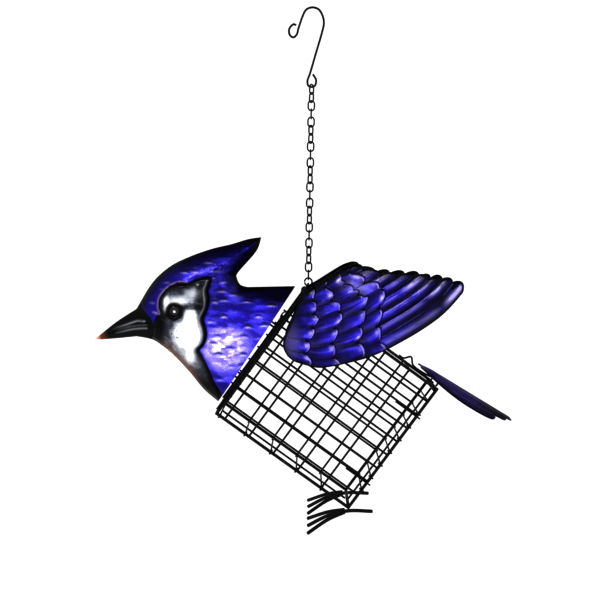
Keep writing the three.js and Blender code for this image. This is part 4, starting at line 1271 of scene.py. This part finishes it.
def tail_plate():
    """Five feathers side by side, arched across, with a rib along each."""
    columns, rows = TAIL_STEPS
    share = np.tile(np.linspace(0, 1, columns), rows)
    across = np.repeat(np.linspace(-1, 1, rows), columns)
    starts, ends = np.array(TAIL_FEATHERS).T
    bounds = np.append(starts, 1)
    lane = np.clip(np.searchsorted(bounds, across, side="right") - 1, 0, len(TAIL_FEATHERS) - 1)
    low, high = bounds[lane], bounds[lane + 1]
    phase = 2 * (across - low) / (high - low) - 1
    round_end = (high - low) / 2 * TAIL_WIDTH / 2 * (1 - np.sqrt(np.clip(1 - 0.97 * phase**2, 0, 1)))
    reach = TAIL_LENGTH * ends[lane] - round_end
    x = share * reach
    side_line = smooth_line(np.array(TAIL_SIDE_SHARES) * (TAIL_LENGTH, TAIL_WIDTH), 10)
    y = across * np.interp(x, *side_line.T)
    under = tail_underside(x, y)
    rib = 0.7 * (1 - phase**2) + 0.35 * np.exp(-(phase / 0.12) ** 2)
    relief = rib * ease(x, 0, 12) * ease(reach - x, 0, 4)
    inner = np.column_stack([TAIL_START + x, y, under])
    outer = np.column_stack([TAIL_START + x, y, under + TAIL_SHEET + relief])
    fields = {
        "fade": np.maximum(ease(x, 42, 80), ease(np.abs(across), 0.88, 0.98)),
        # Painted light on the feathers' crowns and painted shade in the creases between them.
        "lit": ease(np.abs(phase), 0.8, 0.2),
        "crease_shade": ease(np.abs(phase), 0.86, 0.98),
        "travel": x * MM,
        "across": y * MM,
    }
    sheet_piece("tail_plate", outer, inner, grid_faces(rows, columns), tail_finish, "lid",
                fields, CAGE)


tail_plate()

# Camera, in metres and degrees
FOCAL_LENGTH = 50.4
SENSOR_WIDTH = 36
CAMERA_PLACE = (0.001177, -0.730069, -0.188509)
CAMERA_PITCH = math.radians(4.67)
CAMERA_YAW = math.radians(0.64)
CAMERA_ROLL = math.radians(0.9375)

# Stage and lights, in metres. A light has a name, a place, a size and a power, and points at MIDDLE
FLOOR_HEIGHT = -1.0
FLOOR_MIDDLE = 0.6
FLOOR_BEND = 0.9
WALL_REACH = 3.4
WALL_TOP = 4.5
FLOOR_SIDES = 96
FLOOR_GLOW = 0.96
FLOOR_GREY = (0.08, 0.08, 0.08, 1)
FLOOR_PALE_GREY = (0.11, 0.11, 0.11, 1)
WORLD_LIGHT = 0.20
MIDDLE = (0, 0, -0.27)
LIGHTS = [
    ("key", (-0.7, -1.3, 0.75), (0.5, 0.35), 5.5),
    ("front", (-0.25, -1.5, -0.65), (0.5, 0.35), 1.8),
    ("fill", (1.2, -1.0, 0.1), (0.3, 0.9), 1.2),
]
GAMMA = 0.6


def camera():
    """A camera in front of the bird's left side, a little above its middle."""
    level = math.cos(CAMERA_PITCH)
    ahead = Vector((-math.sin(CAMERA_YAW) * level, math.cos(CAMERA_YAW) * level, -math.sin(CAMERA_PITCH)))
    right = Vector((math.cos(CAMERA_YAW), math.sin(CAMERA_YAW), 0))
    right = Matrix.Rotation(-CAMERA_ROLL, 3, ahead) @ right
    up = right.cross(ahead)
    data = bpy.data.cameras.new("camera")
    data.lens = FOCAL_LENGTH
    data.sensor_width = SENSOR_WIDTH
    made = add_object("camera", data)
    made.matrix_world = Matrix.Translation(CAMERA_PLACE) @ Matrix((right, up, -ahead)).transposed().to_4x4()
    bpy.context.scene.camera = made


def stage_material():
    """A pale floor that lights itself, so that it is just white."""
    surface = Surface("pale_floor", Emission_Color=(1, 1, 1, 1), Emission_Strength=FLOOR_GLOW)
    cloud = surface.noise(300, 2)
    return surface.finish(surface.layered(FLOOR_GREY, (surface.ease(cloud, 0.3, 0.7), FLOOR_PALE_GREY)), 0.9)


def stage():
    """A round pale floor that curves up into a wall on all sides."""
    profile = [(FLOOR_MIDDLE, FLOOR_HEIGHT)]
    for angle in np.linspace(0, math.pi / 2, 14):
        out, up = FLOOR_BEND * math.sin(angle), FLOOR_BEND * math.cos(angle)
        profile.append((WALL_REACH - FLOOR_BEND + out, FLOOR_HEIGHT + FLOOR_BEND - up))
    profile.append((WALL_REACH, WALL_TOP))
    turns = np.linspace(0, 2 * math.pi, FLOOR_SIDES, endpoint=False)
    vertices = [(r * math.cos(t), r * math.sin(t), z) for r, z in profile for t in turns]
    faces = [*ring_faces(len(profile), FLOOR_SIDES), tuple(reversed(range(FLOOR_SIDES)))]
    mesh = bpy.data.meshes.new("floor")
    mesh.from_pydata(vertices, [], faces)
    mesh.shade_smooth()
    mesh.materials.append(stage_material())
    add_object("floor", mesh)


def studio():
    """Three soft lights, an even sky and the contrast of the picture."""
    world = bpy.data.worlds.new("studio")
    bpy.context.scene.world = world
    world.use_nodes = True
    background = world.node_tree.nodes["Background"]
    background.inputs["Color"].default_value = (1, 1, 1, 1)
    background.inputs["Strength"].default_value = WORLD_LIGHT
    for name, place, size, power in LIGHTS:
        data = bpy.data.lights.new(name, "AREA")
        data.shape = "RECTANGLE"
        data.size, data.size_y = size
        data.energy = power
        made = add_object(name, data)
        made.location = place
        made.rotation_euler = (Vector(MIDDLE) - Vector(place)).to_track_quat("-Z", "Y").to_euler()
    bpy.context.scene.view_settings.view_transform = "Standard"
    bpy.context.scene.view_settings.gamma = GAMMA


camera()
stage()
studio()
